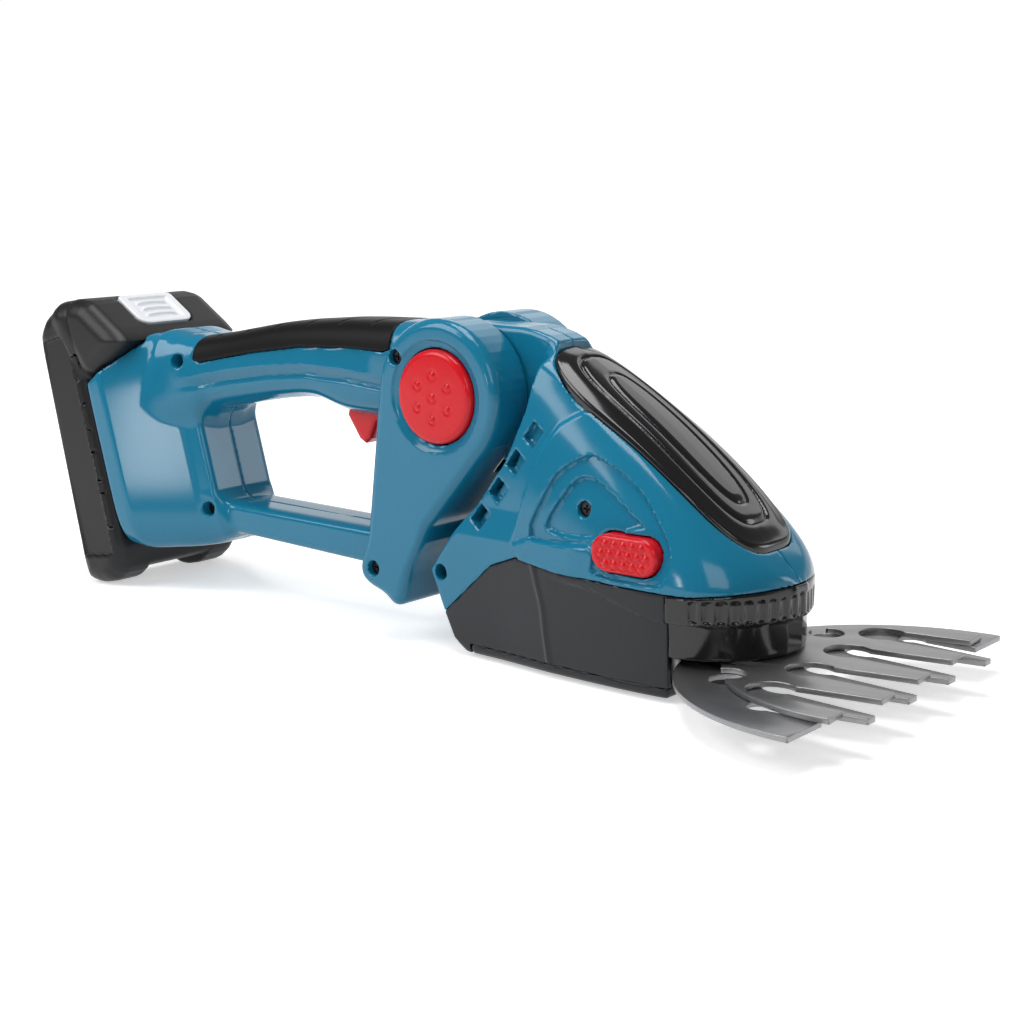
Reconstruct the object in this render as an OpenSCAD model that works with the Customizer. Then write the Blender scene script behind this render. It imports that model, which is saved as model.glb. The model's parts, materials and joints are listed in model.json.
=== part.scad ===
// Cordless grass shears: a folding cutting head, a loop handle and a slide-on battery.
// Frame: +X runs forward to the blades, +Z is up, the origin is the middle of the flat sole.
// The right side is -Y and the left side is +Y.

/* [Head housing] */
// Length of the head from its lower rear corner to the tip of the nose
head_len = 146; // [140:1:152]
// Widest point of the head
head_w = 76; // [72:1:82]
// Height of the head's roof above the sole
head_h = 120; // [114:1:126]
// Distance from the origin back to the head's lower rear corner
head_back = 66; // [62:1:70]
// Height of the joint between the upper shells and the base
belt_h = 40; // [38:0.5:43]
// Wall of every moulded shell
wall = 2.8; // [2.2:0.1:3.4]
// Height that the roof panel stands proud of the shells
panel_rise = 1.4; // [0.8:0.1:2.2]
// Length of the roof panel seen from above
panel_len = 91; // [86:1:96]
// Width of the roof panel
panel_w = 45; // [40:1:48]
// Distance from the origin forward to the middle of the roof panel
panel_ahead = 23.5; // [21:0.5:26]

/* [Base and nose] */
// Distance from the origin forward to the front end of the base's side walls
base_front = 46; // [44:1:50]
// Height of the underside of the nose
nose_floor = 15.6; // [15.6:0.1:17]
// Height of the step round the nose
nose_step_h = 29; // [26:0.5:32]
// Depth of the step round the nose
nose_step = 2.4; // [1:0.1:3]
// Radius of each scallop on the upper tier of the nose
scallop_r = 2.2; // [1.5:0.1:3]
// Scallops on the nose
scallop_n = 11; // [5:2:15]
// Angle that the scallops spread over, in degrees
scallop_spread = 100; // [80:5:120]
// Thickness of the sole plate
sole_t = 4; // [3:0.5:5]
// Half the width of the seat under the comb
seat_half = 17; // [15:0.5:19]
// Distance from the origin forward to the rear of the seat
seat_ahead = 8; // [4:1:12]
// Radius of the two dowels that hold the comb
dowel_r = 2; // [1.5:0.1:2.5]
// Vent pockets along each side of the head's rear edge
vent_n = 4; // [3:1:4]
// Width of a vent pocket
vent_w = 7; // [5:0.5:8]
// Spacing of the vent pockets
vent_pitch = 13.5; // [11:0.5:14]

/* [Fold hinge] */
// Distance of the hinge axle behind the origin
hinge_back = 65; // [64:0.5:67]
// Height of the hinge axle above the sole
hinge_h = 100; // [96:0.5:103]
// Radius of the hinge axle
axle_r = 5; // [4:0.25:6]
// Radius of the handle's two cheeks
cheek_r = 30; // [28:0.5:31]
// Distance from the middle plane to the outer face of a cheek
cheek_out = 31.5; // [30:0.5:34]
// Half the width of the head's tongue between the cheeks
tongue_half = 10.5; // [9:0.5:12]
// Side gap between the tongue and a cheek
fork_gap = 0.6; // [0.4:0.1:1]
// Angle that the head folds up through, in degrees
fold_max = 60; // [50:5:60]
// Running clearance on radius of every pin in a bore
run_gap = 0.05; // [0.02:0.01:0.08]

/* [Red buttons] */
// Radius of a fold release button
fold_button_r = 18.4; // [16:0.2:20]
// Travel of a fold release button
fold_travel = 4; // [3:0.5:5]
// Depth of a fold release button
fold_button_t = 9; // [8:0.5:11]
// Height that a fold release button stands proud of the cheek
fold_button_proud = 1.6; // [1:0.1:2.5]
// Length of a blade release button
side_button_len = 29; // [24:1:32]
// Height of a blade release button
side_button_h = 14; // [11:0.5:16]
// Travel of a blade release button
side_travel = 3; // [2:0.5:4]
// Distance from the origin forward to the middle of the blade release buttons
side_button_ahead = 28; // [25:1:31]
// Height of the middle of the blade release buttons
side_button_z = 51; // [49:0.5:53]
// Distance from the middle plane to the outer face of a blade release button
side_button_out = 38; // [37:0.5:41]
// Clearance round every moving button
button_gap = 0.5; // [0.4:0.1:0.8]

/* [Handle] */
// Distance of the arm's rear edge behind the hinge, at its foot
arm_back = 34; // [32:1:38]
// Depth of the arm's lowest point below the hinge
arm_drop = 86; // [82:1:88]
// Distance of the arm's front toe behind the hinge
arm_toe_back = 22; // [20:1:26]
// Distance of the arm's knee behind the hinge
arm_knee_back = 12; // [10:0.5:14]
// Depth of the arm's knee below the hinge
arm_knee_drop = 60.5; // [57:0.5:64]
// Radius of the arm's two toes
arm_toe_r = 4.5; // [3:0.5:6]
// Radius of the moulded edge along the arm and cheeks
arm_edge_r = 4; // [2:0.5:5]
// Length of the grip from the hinge back to the rear foot
grip_len = 165; // [155:1:172]
// Width of the grip
grip_w = 37; // [34:1:40]
// Height of the grip
grip_h = 38; // [35:1:41]
// Thickness of the rubber pad on the grip
pad_t = 2; // [1.5:0.1:2.5]
// Height of the lower bar
bar_h = 14; // [12:0.5:16]
// Width of the lower bar
bar_w = 29; // [26:1:31]
// Height of the lower bar's middle above the sole
bar_z = 32.5; // [30:0.5:35]

/* [Trigger] */
// Distance of the trigger pin behind the hinge
trigger_back = 45; // [43:0.5:47]
// Height of the trigger pin above the hinge
trigger_rise = 1; // [0:0.5:3]
// Radius of the trigger pin
trigger_pin_r = 2; // [1.5:0.1:2.5]
// Width of the trigger
trigger_w = 13; // [11:0.5:15]
// Reach of the trigger's tip below its pin
trigger_reach = 28; // [26:0.5:30]
// Length of the switch behind the trigger
switch_len = 24; // [20:1:28]
// Height of the switch
switch_h = 13; // [10:0.5:15]
// Length of the switch's plunger
switch_plunger = 5; // [4:0.5:6]

/* [Battery] */
// Lean of the battery's sliding axis from the vertical, in degrees
battery_lean = 16; // [14:0.5:18]
// Length of the battery along its sliding axis
battery_len = 120; // [114:1:124]
// Width of the battery
battery_w = 75; // [70:1:78]
// Thickness of the battery outside the rear foot
battery_t = 31; // [28:0.5:34]
// Radius of the battery's upright corners
battery_corner_r = 9; // [6:0.5:11]
// Distance from the end of the grip back to the middle of the rear foot
foot_reach = 27; // [24:1:30]
// Height of the middle of the rear foot above the sole
foot_z = 60; // [58:0.5:62]
// Length of the rear foot along the battery
foot_len = 96; // [92:1:100]
// Width of the rear foot where it meets the battery
foot_w = 74; // [70:1:77]
// Depth of the rear foot from the battery to the loop
foot_depth = 47; // [45:1:52]
// Depth of the latch housing at the battery's upper end
latch_depth = 28; // [26:1:30]
// Height of the latch housing above the rear foot's middle
latch_base = 31; // [29:0.5:33]
// Width of the slide rail
rail_w = 44; // [38:1:48]
// Depth of the slide rail
rail_depth = 15; // [12:0.5:17]
// Gap between the battery and the rear foot
battery_gap = 0.5; // [0.4:0.1:0.8]
// Width of the battery's latch button
latch_w = 31; // [26:1:34]
// Length of the battery's latch button
latch_len = 21; // [17:1:23]
// Travel of the battery's latch button
latch_travel = 3; // [2:0.5:4]
// Thickness of the latch button
latch_t = 4; // [3:0.5:5]
// Height that the latch button stands proud
latch_proud = 0.8; // [0.4:0.1:1.2]
// Thickness of the contact block in the rear foot
terminal_t = 6; // [5:0.5:7]

/* [Blades] */
// Distance from the origin forward to the blade pivot
pivot_ahead = 52; // [50:0.5:54]
// Radius of the blade pivot
pivot_r = 4; // [3:0.25:5]
// Distance from the pivot forward to the tips of the comb's fingers
comb_reach = 80; // [76:1:84]
// Width of the comb across its outer fingers
comb_w = 160; // [150:1:164]
// Distance that the comb reaches behind the pivot
comb_tail = 11; // [9:0.5:13]
// Width of one moving tooth at its tip
finger_w = 10; // [8:0.5:12]
// Thickness of each blade
blade_t = 2; // [1.6:0.1:2.4]
// Height of the underside of the comb above the sole
blade_z = 10.6; // [10:0.1:10.6]
// Gap between the two blades
blade_gap = 0.3; // [0.3:0.05:0.5]
// Angle of the moving blade from the middle of its stroke, in degrees
blade_lean = 3; // [0:0.5:4]
// Width of the moving blade across its outer teeth
moving_w = 130; // [126:1:134]
// Distance that the moving teeth stop short of the comb's tips
tooth_short = 5; // [4:0.5:8]
// Distance from the pivot forward to the roots of the slots between the moving teeth
slot_ahead = 39; // [37:0.5:42]
// Radius of the relief at the root of each slot
root_r = 9; // [7:0.5:9.5]
// Distance that the outer fingers stop short of the middle ones
tip_bow = 11; // [6:0.5:14]

/* [Drive] */
// Distance from the origin forward to the crank gear's axis
crank_ahead = 28; // [26:0.5:30]
// Radius of the motor can
motor_r = 14.5; // [13:0.25:15.5]
// Length of the motor can
motor_len = 46; // [42:1:48]
// Radius of the motor shaft
shaft_r = 1.6; // [1.2:0.1:2]
// Module of the gear teeth
tooth_module = 0.8; // [0.7:0.05:0.85]
// Teeth on the pinion
pinion_n = 12; // [11:1:13]
// Teeth on the idler gear
idler_n = 30; // [28:1:31]
// Teeth on the crank gear
gear_n = 43; // [41:1:45]
// Thickness of the crank gear
gear_t = 6; // [5:0.5:7]
// Height of the underside of the crank gear above the sole
gear_z = 20; // [19:0.5:21]
// Throw of the crank pin
crank_throw = 3.4; // [2.5:0.1:4]
// Radius of the crank pin
crank_pin_r = 3; // [2.5:0.1:3.2]
// Radius of the two gear axles
gear_axle_r = 3; // [2.5:0.1:3.5]
// Height of the underside of the gear frame above the sole
frame_z = 30; // [29:0.5:31]
// Thickness of the gear frame
frame_t = 3; // [2.5:0.5:4]
// Radius of the gear frame's pillars
pillar_r = 3; // [2.5:0.25:3.5]

/* [Screws] */
// Radius of a housing screw's head
screw_head_r = 3; // [2.5:0.1:3.5]
// Radius of a housing screw's shank
screw_r = 1.6; // [1.2:0.1:2]
// Length of a housing screw
screw_len = 14; // [11:1:18]
// Depth that a screw head sits below the moulded face
screw_sunk = 3; // [2:0.5:4]

/* [Hidden] */
$fn = 64;
// Overrun of every cut
cut = 1;
hinge_x = -hinge_back;
head_front = head_len - head_back;
fork_half = tongue_half + fork_gap;
tongue_r = cheek_r - wall;
slot_r = tongue_r + fork_gap;
// Heights of the blade stack
comb_top = blade_z + blade_t;
moving_z = comb_top + blade_gap;
moving_top = moving_z + blade_t;
frame_top = frame_z + frame_t;
// Places of the gear axes, from the crank gear back to the motor
idler_x = crank_ahead - tooth_module * (gear_n + idler_n) / 2;
motor_x = idler_x - tooth_module * (idler_n + pinion_n) / 2;
trigger_x = hinge_x - trigger_back;
trigger_z = hinge_h + trigger_rise;
foot_x = hinge_x - grip_len - foot_reach;
// Depth of a cheek's recess behind its button
recess_depth = fold_button_t - fold_button_proud + fold_travel + button_gap;
// Half the length of the axle, whose ends guide the fold buttons
axle_half = cheek_out - recess_depth + fold_travel + button_gap + axle_r / 2;
// Neck of the slide rail, start of its flange, and its distance from the foot's lower end
neck_share = 0.66;
rail_neck = rail_w * neck_share;
rail_lip = wall + 2 * battery_gap;
rail_end = 3 * wall;
// Turn of the idler, which has a space where the pinion has a tooth
idler_turn = 180 + 180 / idler_n;
// Turn of the crank gear, which has a space where the idler has its nearest tooth
idler_lead = (idler_n * idler_turn / 360) % 1;
crank_turn = 180 + (1 / 2 - idler_lead) * 360 / gear_n;

// Head stations: shares of the length, of the height and of the half width
head_station_shares = [
    [-0.08, 0.920, 0.745], [0.12, 0.985, 0.79], [0.22, 1.005, 0.82], [0.30, 0.990, 0.86], [0.38, 0.940, 0.90],
    [0.50, 0.850, 0.95], [0.62, 0.750, 0.99], [0.74, 0.635, 1.00], [0.84, 0.530, 0.94], [0.91, 0.458, 0.78],
    [0.955, 0.408, 0.56], [0.985, 0.368, 0.31], [1.00, 0.338, 0.12],
];
// Side of the head below the belt: shares of the half width and of the belt's height
head_side_shares = [[0.93, 0], [0.965, 0.12], [0.985, 0.62], [1, 1]];
// Side of the head above the belt: shares of the half width and of the height left to the roof
head_crown_shares = [
    [0.985, 0.16], [0.95, 0.34], [0.895, 0.52], [0.82, 0.70], [0.735, 0.83], [0.63, 0.92], [0.48, 0.965],
    [0.26, 0.99],
];
// Rear edge of the head: shares of the length and of the height
head_rear_shares = [
    [0.11, -0.02], [0.05, 0.042], [0.02, 0.117], [-0.03, 0.258], [0.205, 0.65], [0.26, 0.81], [0.33, 1.17],
    [1.1, 1.17], [1.1, -0.02],
];
// Line between shells and base: shares of the length and of the belt's height
belt_line_shares = [
    [-0.1, 0.36], [0.02, 0.38], [0.19, 0.93], [0.28, 1.06], [0.43, 1.0], [0.82, 0.98], [1.1, 1.07],
];
// Neck of the tongue: shares of the length and of the height
neck_shares = [[0.34, 0.98], [0.36, 0.64], [0.24, 0.66], [0.26, 1.055]];
// Places of the head's screws: shares of the length and of the height
head_screw_shares = [[0.009, 0.256], [0.49, 0.535]];
// Corner of the vent row: shares of the length and of the height
vent_shares = [0.334, 0.753];

// Grip stations from the rear foot to the hinge: shares of the grip's length back from the
// hinge, of the hinge's height, of the grip's half height and of its half width
grip_station_shares = [
    [1.00, 0.93, 0.92, 1.12], [0.92, 0.955, 0.90, 1.08], [0.80, 0.995, 0.86, 1.00],
    [0.62, 1.050, 0.86, 0.97], [0.50, 1.068, 0.88, 0.97], [0.38, 1.055, 1.03, 0.98],
    [0.20, 1.06, 1.05, 1.00], [0.10, 1.07, 1.00, 1.00],
];
// Outline of the rubber pad: shares of the grip's length back from the hinge and of the hinge's height
pad_line_shares = [
    [0.21, 1.5], [0.21, 1.15], [0.235, 1.135], [0.36, 1.14], [0.52, 1.125], [0.70, 1.08], [0.88, 1.02],
    [0.905, 1.03], [0.905, 1.5],
];
// Rear foot stations: shares of the depth, of the half length down and up, and of the half width
foot_station_shares = [
    [0.00, -0.92, 1.00, 0.99], [0.20, -0.99, 1.00, 0.98], [0.42, -1.03, 0.99, 0.83],
    [0.62, -1.06, 0.97, 0.66], [0.82, -1.07, 0.92, 0.56], [1.00, -1.03, 0.80, 0.47],
];
// Bar stations from the rear: shares of its height above the sole, and of its own height
bar_station_shares = [[1.055, 0.92], [0.95, 1.14]];
// Squareness of the moulded sections, from round at 1 to square at 0
soft_share = 0.55;
square_share = 0.3;
// Places of the handle's screws: shares of the grip's length back from the hinge and of the hinge's height
handle_screw_shares = [[0.125, 1.14], [0.20, 0.28], [0.95, 1.02], [0.86, 0.375]];
// Outline of the trigger below its pin: shares of its reach
trigger_shares = [
    [-0.18, 0.20], [0.20, 0.16], [0.20, -0.20], [-0.06, -0.50], [-0.30, -0.66], [-0.42, -0.92],
    [-0.53, -1.00], [-0.64, -0.94], [-0.88, -0.60], [-0.80, -0.22],
];

// Pillars of the gear frame: shares of the base's front and of the seat's half width
pillar_shares = [[-0.80, 0.80], [0.87, 1.22]];
// Gear tooth: shares of its pitch and of the module
tooth_shares = [[-0.31, -1.15], [-0.10, 0.85], [0.10, 0.85], [0.31, -1.15]];
// Roots of the comb's slots: shares of the reach and of the half width
comb_root_shares = [[0.56, -0.69], [0.50, -0.375], [0.50, 0], [0.50, 0.375], [0.56, 0.69]];
// Mouths of the comb's slots: shares of the half width for place and width
comb_mouth_shares = [[-0.65, 0.12], [-0.375, 0.30], [0, 0.30], [0.375, 0.30], [0.65, 0.12]];
// Windows through both blades: shares of the reach and of the half width
window_shares = [[0.24, -0.44], [0.24, 0.44]];
// Spacing of the moving teeth, as a share of the moving blade's width
tooth_pitch_share = 0.23;
tooth_pitch = moving_w * tooth_pitch_share;
// Radius of a slot's root, as a share of its mouth, and of a window, as a share of the root
root_share = 0.55;
window_share = 0.75;
// Places where the outer fingers and teeth begin: shares of the half width
comb_step_share = 0.62;
moving_step_share = 0.70;
// Side view of the battery: shares of its thickness and half length
battery_low_shares = [[-1, -0.84], [-0.90, -0.95], [-0.28, -0.97], [0, -0.78]];
battery_top_shares = [[0.24, 1.165], [-0.48, 1.15], [-0.80, 1.03], [-0.86, 0.92]];
// Rise of the latch housing's underside, as a share of its depth
lip_share = 0.43;
lip_z = latch_base + lip_share * latch_depth;
// Place of the latch button down the slope
latch_share = 0.42;
// Height of a screw's head, as a share of its radius
screw_head_share = 0.8;
screw_head_h = screw_head_r * screw_head_share;
// Spring pocket behind a fold button: shares of the axle's radius
spring_shares = [1.8, 2.6];

// Place of the switch behind the trigger, and of the contact block's front face
switch_front = trigger_x - trigger_reach - switch_plunger - wall;
switch_z = hinge_h * grip_station_shares[4][1];
terminal_front = rail_depth + 2 * battery_gap + terminal_t;

// Name of every sub-part
// The sub-part to build, or all of them

// Shared shapes

// Points round an oval
function oval_ring(half_w, half_h, power, n) = [
    for (i = [0 : n - 1])
        let (c = cos(360 * i / n), s = sin(360 * i / n))
        [half_w * sign(c) * pow(abs(c), power), half_h * sign(s) * pow(abs(s), power)]
];

// Skin over rings that follow each other along +X, each with the same number of points
module loft(rings) {
    n = len(rings[0]);
    last = len(rings) - 1;
    sides = [
        for (j = [0 : last - 1], i = [0 : n - 1])
            let (k = (i + 1) % n, a = j * n, b = a + n)
            each [[a + i, b + k, a + k], [a + i, b + i, b + k]]
    ];
    start = [for (i = [0 : n - 1]) i];
    finish = [for (i = [0 : n - 1]) last * n + n - 1 - i];
    polyhedron([for (r = rings) each r], concat(sides, [start, finish]));
}

// Joins the walls and cuts of one moulding into a single form
module moulded() {
    resize([0, 0, 0]) children();
}

// Side profile drawn in X and Z, raised from y0 to y1
module side_slab(y0, y1) {
    translate([0, y1, 0]) rotate([90, 0, 0]) linear_extrude(y1 - y0) children();
}

// Side slab about the middle plane, with its two outer edges rounded, for an outline that bulges all round
module rounded_slab(half, edge) {
    steps = 3;
    hull() for (i = [0 : steps]) {
        reach = half - edge + edge * sin(90 * i / steps);
        side_slab(-reach, reach) offset(delta = -edge * (1 - cos(90 * i / steps))) children();
    }
}

// Cylinder along Y from y0 to y1
module cross_pin(place, r, y0, y1) {
    translate([place[0], y1, place[1]]) rotate([90, 0, 0]) cylinder(r = r, h = y1 - y0);
}

// Box about the middle plane
module mid_box(x0, x1, half, z0, z1) {
    translate([x0, -half, z0]) cube([x1 - x0, 2 * half, z1 - z0]);
}

// Space on one side of the middle plane
module half_space(side) {
    reach = 4 * head_len;
    translate([-reach, side > 0 ? 0 : -reach, -reach]) cube([2 * reach, reach, 2 * reach]);
}

// Countersunk screw along +Y, with a cross slot, whose head starts at y0
module housing_screw(place, y0) {
    difference() {
        union() {
            cross_pin(place, screw_head_r, y0, y0 + screw_head_h);
            cross_pin(place, screw_r, y0, y0 + screw_len);
        }
        for (turn = [0, 90])
            translate([place[0], y0, place[1]]) rotate([0, turn, 0])
                cube([screw_r * 2, screw_head_h, screw_r / 2], center = true);
    }
}

// Places children in the battery's own axes: X from the battery into the foot, Z along the slide
module at_foot() {
    translate([foot_x, 0, foot_z]) rotate([0, -battery_lean, 0]) children();
}

// Head housing

function head_point(p) = [-head_back + p[0] * head_len, p[1] * head_h];

function head_ring(row, grow) =
    let (
        x = -head_back + row[0] * (head_len + grow),
        half = head_w / 2 * row[2] + grow,
        roof = head_h * row[1] + grow,
        low = [for (p = head_side_shares) [half * p[0], p[1] == 0 && grow < 0 ? -cut : p[1] * belt_h]],
        high = [for (p = head_crown_shares) [half * p[0], belt_h + (roof - belt_h) * p[1]]],
        flank = concat(low, high),
        last = len(flank) - 1
    )
    concat(
        [for (p = flank) [x, p[0], p[1]]],
        [[x, 0, roof]],
        [for (i = [0 : last]) [x, -flank[last - i][0], flank[last - i][1]]]
    );

// Form of the head, grown or shrunk by one length
module head_form(grow) {
    intersection() {
        loft([for (row = head_station_shares) head_ring(row, grow)]);
        side_slab(-head_w, head_w) offset(delta = grow)
            polygon([for (p = head_rear_shares) head_point(p)]);
    }
}

// Everything below the joint line of shells and base
module below_belt() {
    line = [for (p = belt_line_shares) [-head_back + p[0] * head_len, p[1] * belt_h]];
    side_slab(-head_w, head_w) polygon(concat(line, [[head_len, -head_h], [-head_len, -head_h]]));
}

// Everything ahead of the base's side walls
module ahead_of_base() {
    mid_box(base_front, base_front + head_len, head_w, -head_h, 2 * head_h);
}

// Slice of space between two heights
module level_band(z0, z1) {
    mid_box(-head_len, head_len, head_w, z0, z1);
}

// Layer of the roof between two depths, within the panel's oval
module panel_layer(rise, depth) {
    intersection() {
        translate([panel_ahead, 0, belt_h])
            linear_extrude(head_h) polygon(oval_ring(panel_len / 2, panel_w / 2, soft_share, 40));
        difference() {
            head_form(rise);
            head_form(-depth);
        }
    }
}

// Outline of the tongue that carries the head on the axle
module tongue_outline() {
    hull() {
        translate([hinge_x, hinge_h]) circle(r = tongue_r);
        polygon([for (p = neck_shares) head_point(p)]);
    }
}

// Outline of a blade release button
module side_button_outline(grow) {
    straight = (side_button_len - side_button_h) / 2;
    hull() for (tip = [-1, 1])
        translate([side_button_ahead + tip * straight, side_button_z]) circle(r = side_button_h / 2 + grow);
}

// Row of vent pockets along the head's rear edge
module vents() {
    low = head_point(head_rear_shares[3]);
    high = head_point(head_rear_shares[4]);
    corner = head_point(vent_shares);
    intersection() {
        translate([corner[0], 0, corner[1]]) rotate([0, -atan2(high[1] - low[1], high[0] - low[0]), 0])
            for (i = [0 : vent_n - 1])
                mid_box(-i * vent_pitch - vent_w, -i * vent_pitch, head_w, 0, vent_w);
        difference() {
            head_form(cut);
            head_form(-wall / 2);
        }
        level_band(belt_h, corner[1] + vent_pitch);
    }
}

// Screw bosses inside the head
module head_bosses() {
    intersection() {
        for (p = head_screw_shares)
            cross_pin(head_point(p), screw_head_r + wall, -head_w, head_w);
        head_form(0);
    }
}

// Distance from the middle plane to a head screw's counterbore
function head_screw_y(i) = head_w / 2 * (i == 0 ? head_station_shares[0][2] : head_station_shares[4][2])
    - screw_sunk - wall;

module head_shell(side) {
    difference() {
        moulded() intersection() {
            difference() {
                union() {
                    difference() {
                        head_form(0);
                        head_form(-wall);
                        panel_layer(panel_rise + cut, wall / 2);
                        vents();
                    }
                    difference() {
                        side_slab(-tongue_half, tongue_half) tongue_outline();
                        head_form(-wall);
                        panel_layer(panel_rise + cut, wall / 2);
                    }
                    head_bosses();
                }
                below_belt();
                side_slab(-head_w, head_w) side_button_outline(button_gap);
            }
            half_space(side);
        }
        cross_pin([hinge_x, hinge_h], axle_r + run_gap, -fork_half, fork_half);
        for (i = [0 : len(head_screw_shares) - 1]) {
            cross_pin(head_point(head_screw_shares[i]), screw_head_r + run_gap, -head_w,
                screw_head_h - head_screw_y(i));
            cross_pin(head_point(head_screw_shares[i]), screw_r, -head_w, screw_len - head_screw_y(i));
        }
    }
}

module head_shell_right() {
    color("#1f6f8f") head_shell(-1);
}

module head_shell_left() {
    color("#1f6f8f") head_shell(1);
}

module head_screws() {
    color("#3a3b3d") for (i = [0 : len(head_screw_shares) - 1])
        housing_screw(head_point(head_screw_shares[i]), -head_screw_y(i));
}

module roof_panel() {
    color("#111214") moulded() panel_layer(panel_rise, wall / 2);
}

module base_cover() {
    color("#26272b") moulded() difference() {
        intersection() {
            head_form(0);
            below_belt();
            level_band(sole_t, head_h);
        }
        head_form(-wall);
        ahead_of_base();
        head_bosses();
    }
}

// Tiered nose that closes the base in front, over the blades
module nose_cap() {
    color("#141518") difference() {
        moulded() difference() {
            intersection() {
                union() {
                    intersection() {
                        head_form(0);
                        below_belt();
                        level_band(nose_step_h, head_h);
                    }
                    intersection() {
                        head_form(-nose_step);
                        level_band(nose_floor, nose_step_h);
                    }
                }
                ahead_of_base();
            }
            intersection() {
                head_form(-nose_step - wall);
                level_band(nose_floor + wall, head_h);
            }
            for (i = [0 : scallop_n - 1]) scallop(i);
        }
        translate([pivot_ahead, 0, 0]) cylinder(r = pivot_r + wall, h = head_h);
    }
}

// One upright groove round the upper tier of the nose
module scallop(i) {
    a = scallop_spread * (i / (scallop_n - 1) - 1 / 2);
    span = head_front - base_front;
    translate([base_front + span * pow(cos(a), soft_share) + scallop_r / 3, head_w / 2 * sin(a), nose_step_h])
        cylinder(r = scallop_r, h = (belt_h - nose_step_h) * soft_share, $fn = 16);
}

function pillar(p, side) = [p[0] * base_front, side * p[1] * seat_half];

module sole_plate() {
    rear = head_point(head_rear_shares[0])[0];
    rows = [
        for (row = head_station_shares)
            if (head_point(row)[0] > rear && head_point(row)[0] < base_front) row
    ];
    edge = concat(
        [[rear, head_w / 2 * head_station_shares[1][2] * head_side_shares[0][0]]],
        [for (row = rows) [head_point(row)[0], head_w / 2 * row[2] * head_side_shares[0][0]]],
        [[base_front, head_w / 2 * head_side_shares[0][0]]]
    );
    last = len(edge) - 1;
    color("#2b2c30") difference() {
        union() {
            linear_extrude(sole_t)
                polygon(concat(edge, [for (i = [0 : last]) [edge[last - i][0], -edge[last - i][1]]]));
            mid_box(seat_ahead, base_front, seat_half, 0, blade_z);
            translate([base_front, 0, 0]) cylinder(r = seat_half, h = blade_z);
            for (side = [-1, 1])
                translate([base_front, side * (seat_half - 2 * dowel_r), 0])
                    cylinder(r = dowel_r, h = comb_top);
        }
        translate([pivot_ahead, 0, sole_t]) cylinder(r = pivot_r, h = blade_z);
    }
}

// Blade release button, pressed towards the middle plane
module blade_button(side) {
    inner = side_button_out - wall - 2 * side_travel;
    side_slab(side > 0 ? inner : -side_button_out, side > 0 ? side_button_out : -inner)
        side_button_outline(0);
}

module blade_button_right() {
    color("#d3202e") blade_button(-1);
}

module blade_button_left() {
    color("#d3202e") blade_button(1);
}

// Drive

module toothed_disc(n, h) {
    linear_extrude(h) polygon([
        for (i = [0 : n - 1], p = tooth_shares)
            let (a = (i + p[0]) * 360 / n, r = tooth_module * (n / 2 + p[1]))
            [r * cos(a), r * sin(a)]
    ]);
}

module gear_frame() {
    color("#8d9196") difference() {
        union() {
            translate([0, 0, frame_z]) linear_extrude(frame_t) hull()
                for (p = pillar_shares, side = [-1, 1])
                    translate(pillar(p, side)) circle(r = pillar_r + wall);
            for (p = pillar_shares, side = [-1, 1])
                translate(concat(pillar(p, side), [sole_t])) cylinder(r = pillar_r, h = frame_z - sole_t);
        }
        translate([motor_x, 0, 0]) cylinder(r = shaft_r + run_gap, h = head_h);
        for (x = [idler_x, crank_ahead]) translate([x, 0, 0]) cylinder(r = gear_axle_r, h = head_h);
    }
}

module motor_can() {
    color("#6f7479") translate([motor_x, 0, frame_top]) difference() {
        union() {
            cylinder(r = motor_r, h = motor_len);
            translate([0, 0, motor_len]) cylinder(r = motor_r / 3, h = wall);
        }
        translate([0, 0, wall]) cylinder(r = motor_r - wall, h = motor_len - 2 * wall);
        translate([0, 0, -cut]) cylinder(r = shaft_r + run_gap, h = motor_len + 2 * wall);
    }
}

module motor_rotor() {
    color("#a05a2c") translate([motor_x, 0, 0]) union() {
        translate([0, 0, gear_z]) cylinder(r = shaft_r, h = frame_top + motor_len - gear_z);
        translate([0, 0, frame_top + 2 * wall]) cylinder(r = motor_r - 2 * wall, h = motor_len - 4 * wall);
    }
}

module pinion() {
    color("#b9a36a") translate([motor_x, 0, gear_z]) difference() {
        toothed_disc(pinion_n, gear_t);
        translate([0, 0, -cut]) cylinder(r = shaft_r, h = gear_t + 2 * cut);
    }
}

// Two axles that hang from the gear frame
module gear_axles() {
    color("#b5b8bb") for (x = [idler_x, crank_ahead])
        translate([x, 0, gear_z + gear_t / 3]) cylinder(r = gear_axle_r, h = frame_top - gear_z - gear_t / 3);
}

// Gear with a blind bore for its axle, turned so that its teeth mesh
module hung_gear(n, turn) {
    difference() {
        translate([0, 0, gear_z]) rotate(turn) toothed_disc(n, gear_t);
        translate([0, 0, gear_z + gear_t / 3 - blade_gap]) cylinder(r = gear_axle_r + run_gap, h = gear_t);
    }
}

module idler_gear() {
    color("#d8d4c4") translate([idler_x, 0, 0]) hung_gear(idler_n, idler_turn);
}

module crank_gear() {
    color("#d8d4c4") translate([crank_ahead, 0, 0]) union() {
        hung_gear(gear_n, crank_turn);
        translate([-crank_throw, 0, moving_top + blade_gap])
            cylinder(r = crank_pin_r, h = gear_z - moving_top - blade_gap);
    }
}

// Blades, seen from above with the pivot at the origin

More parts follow.
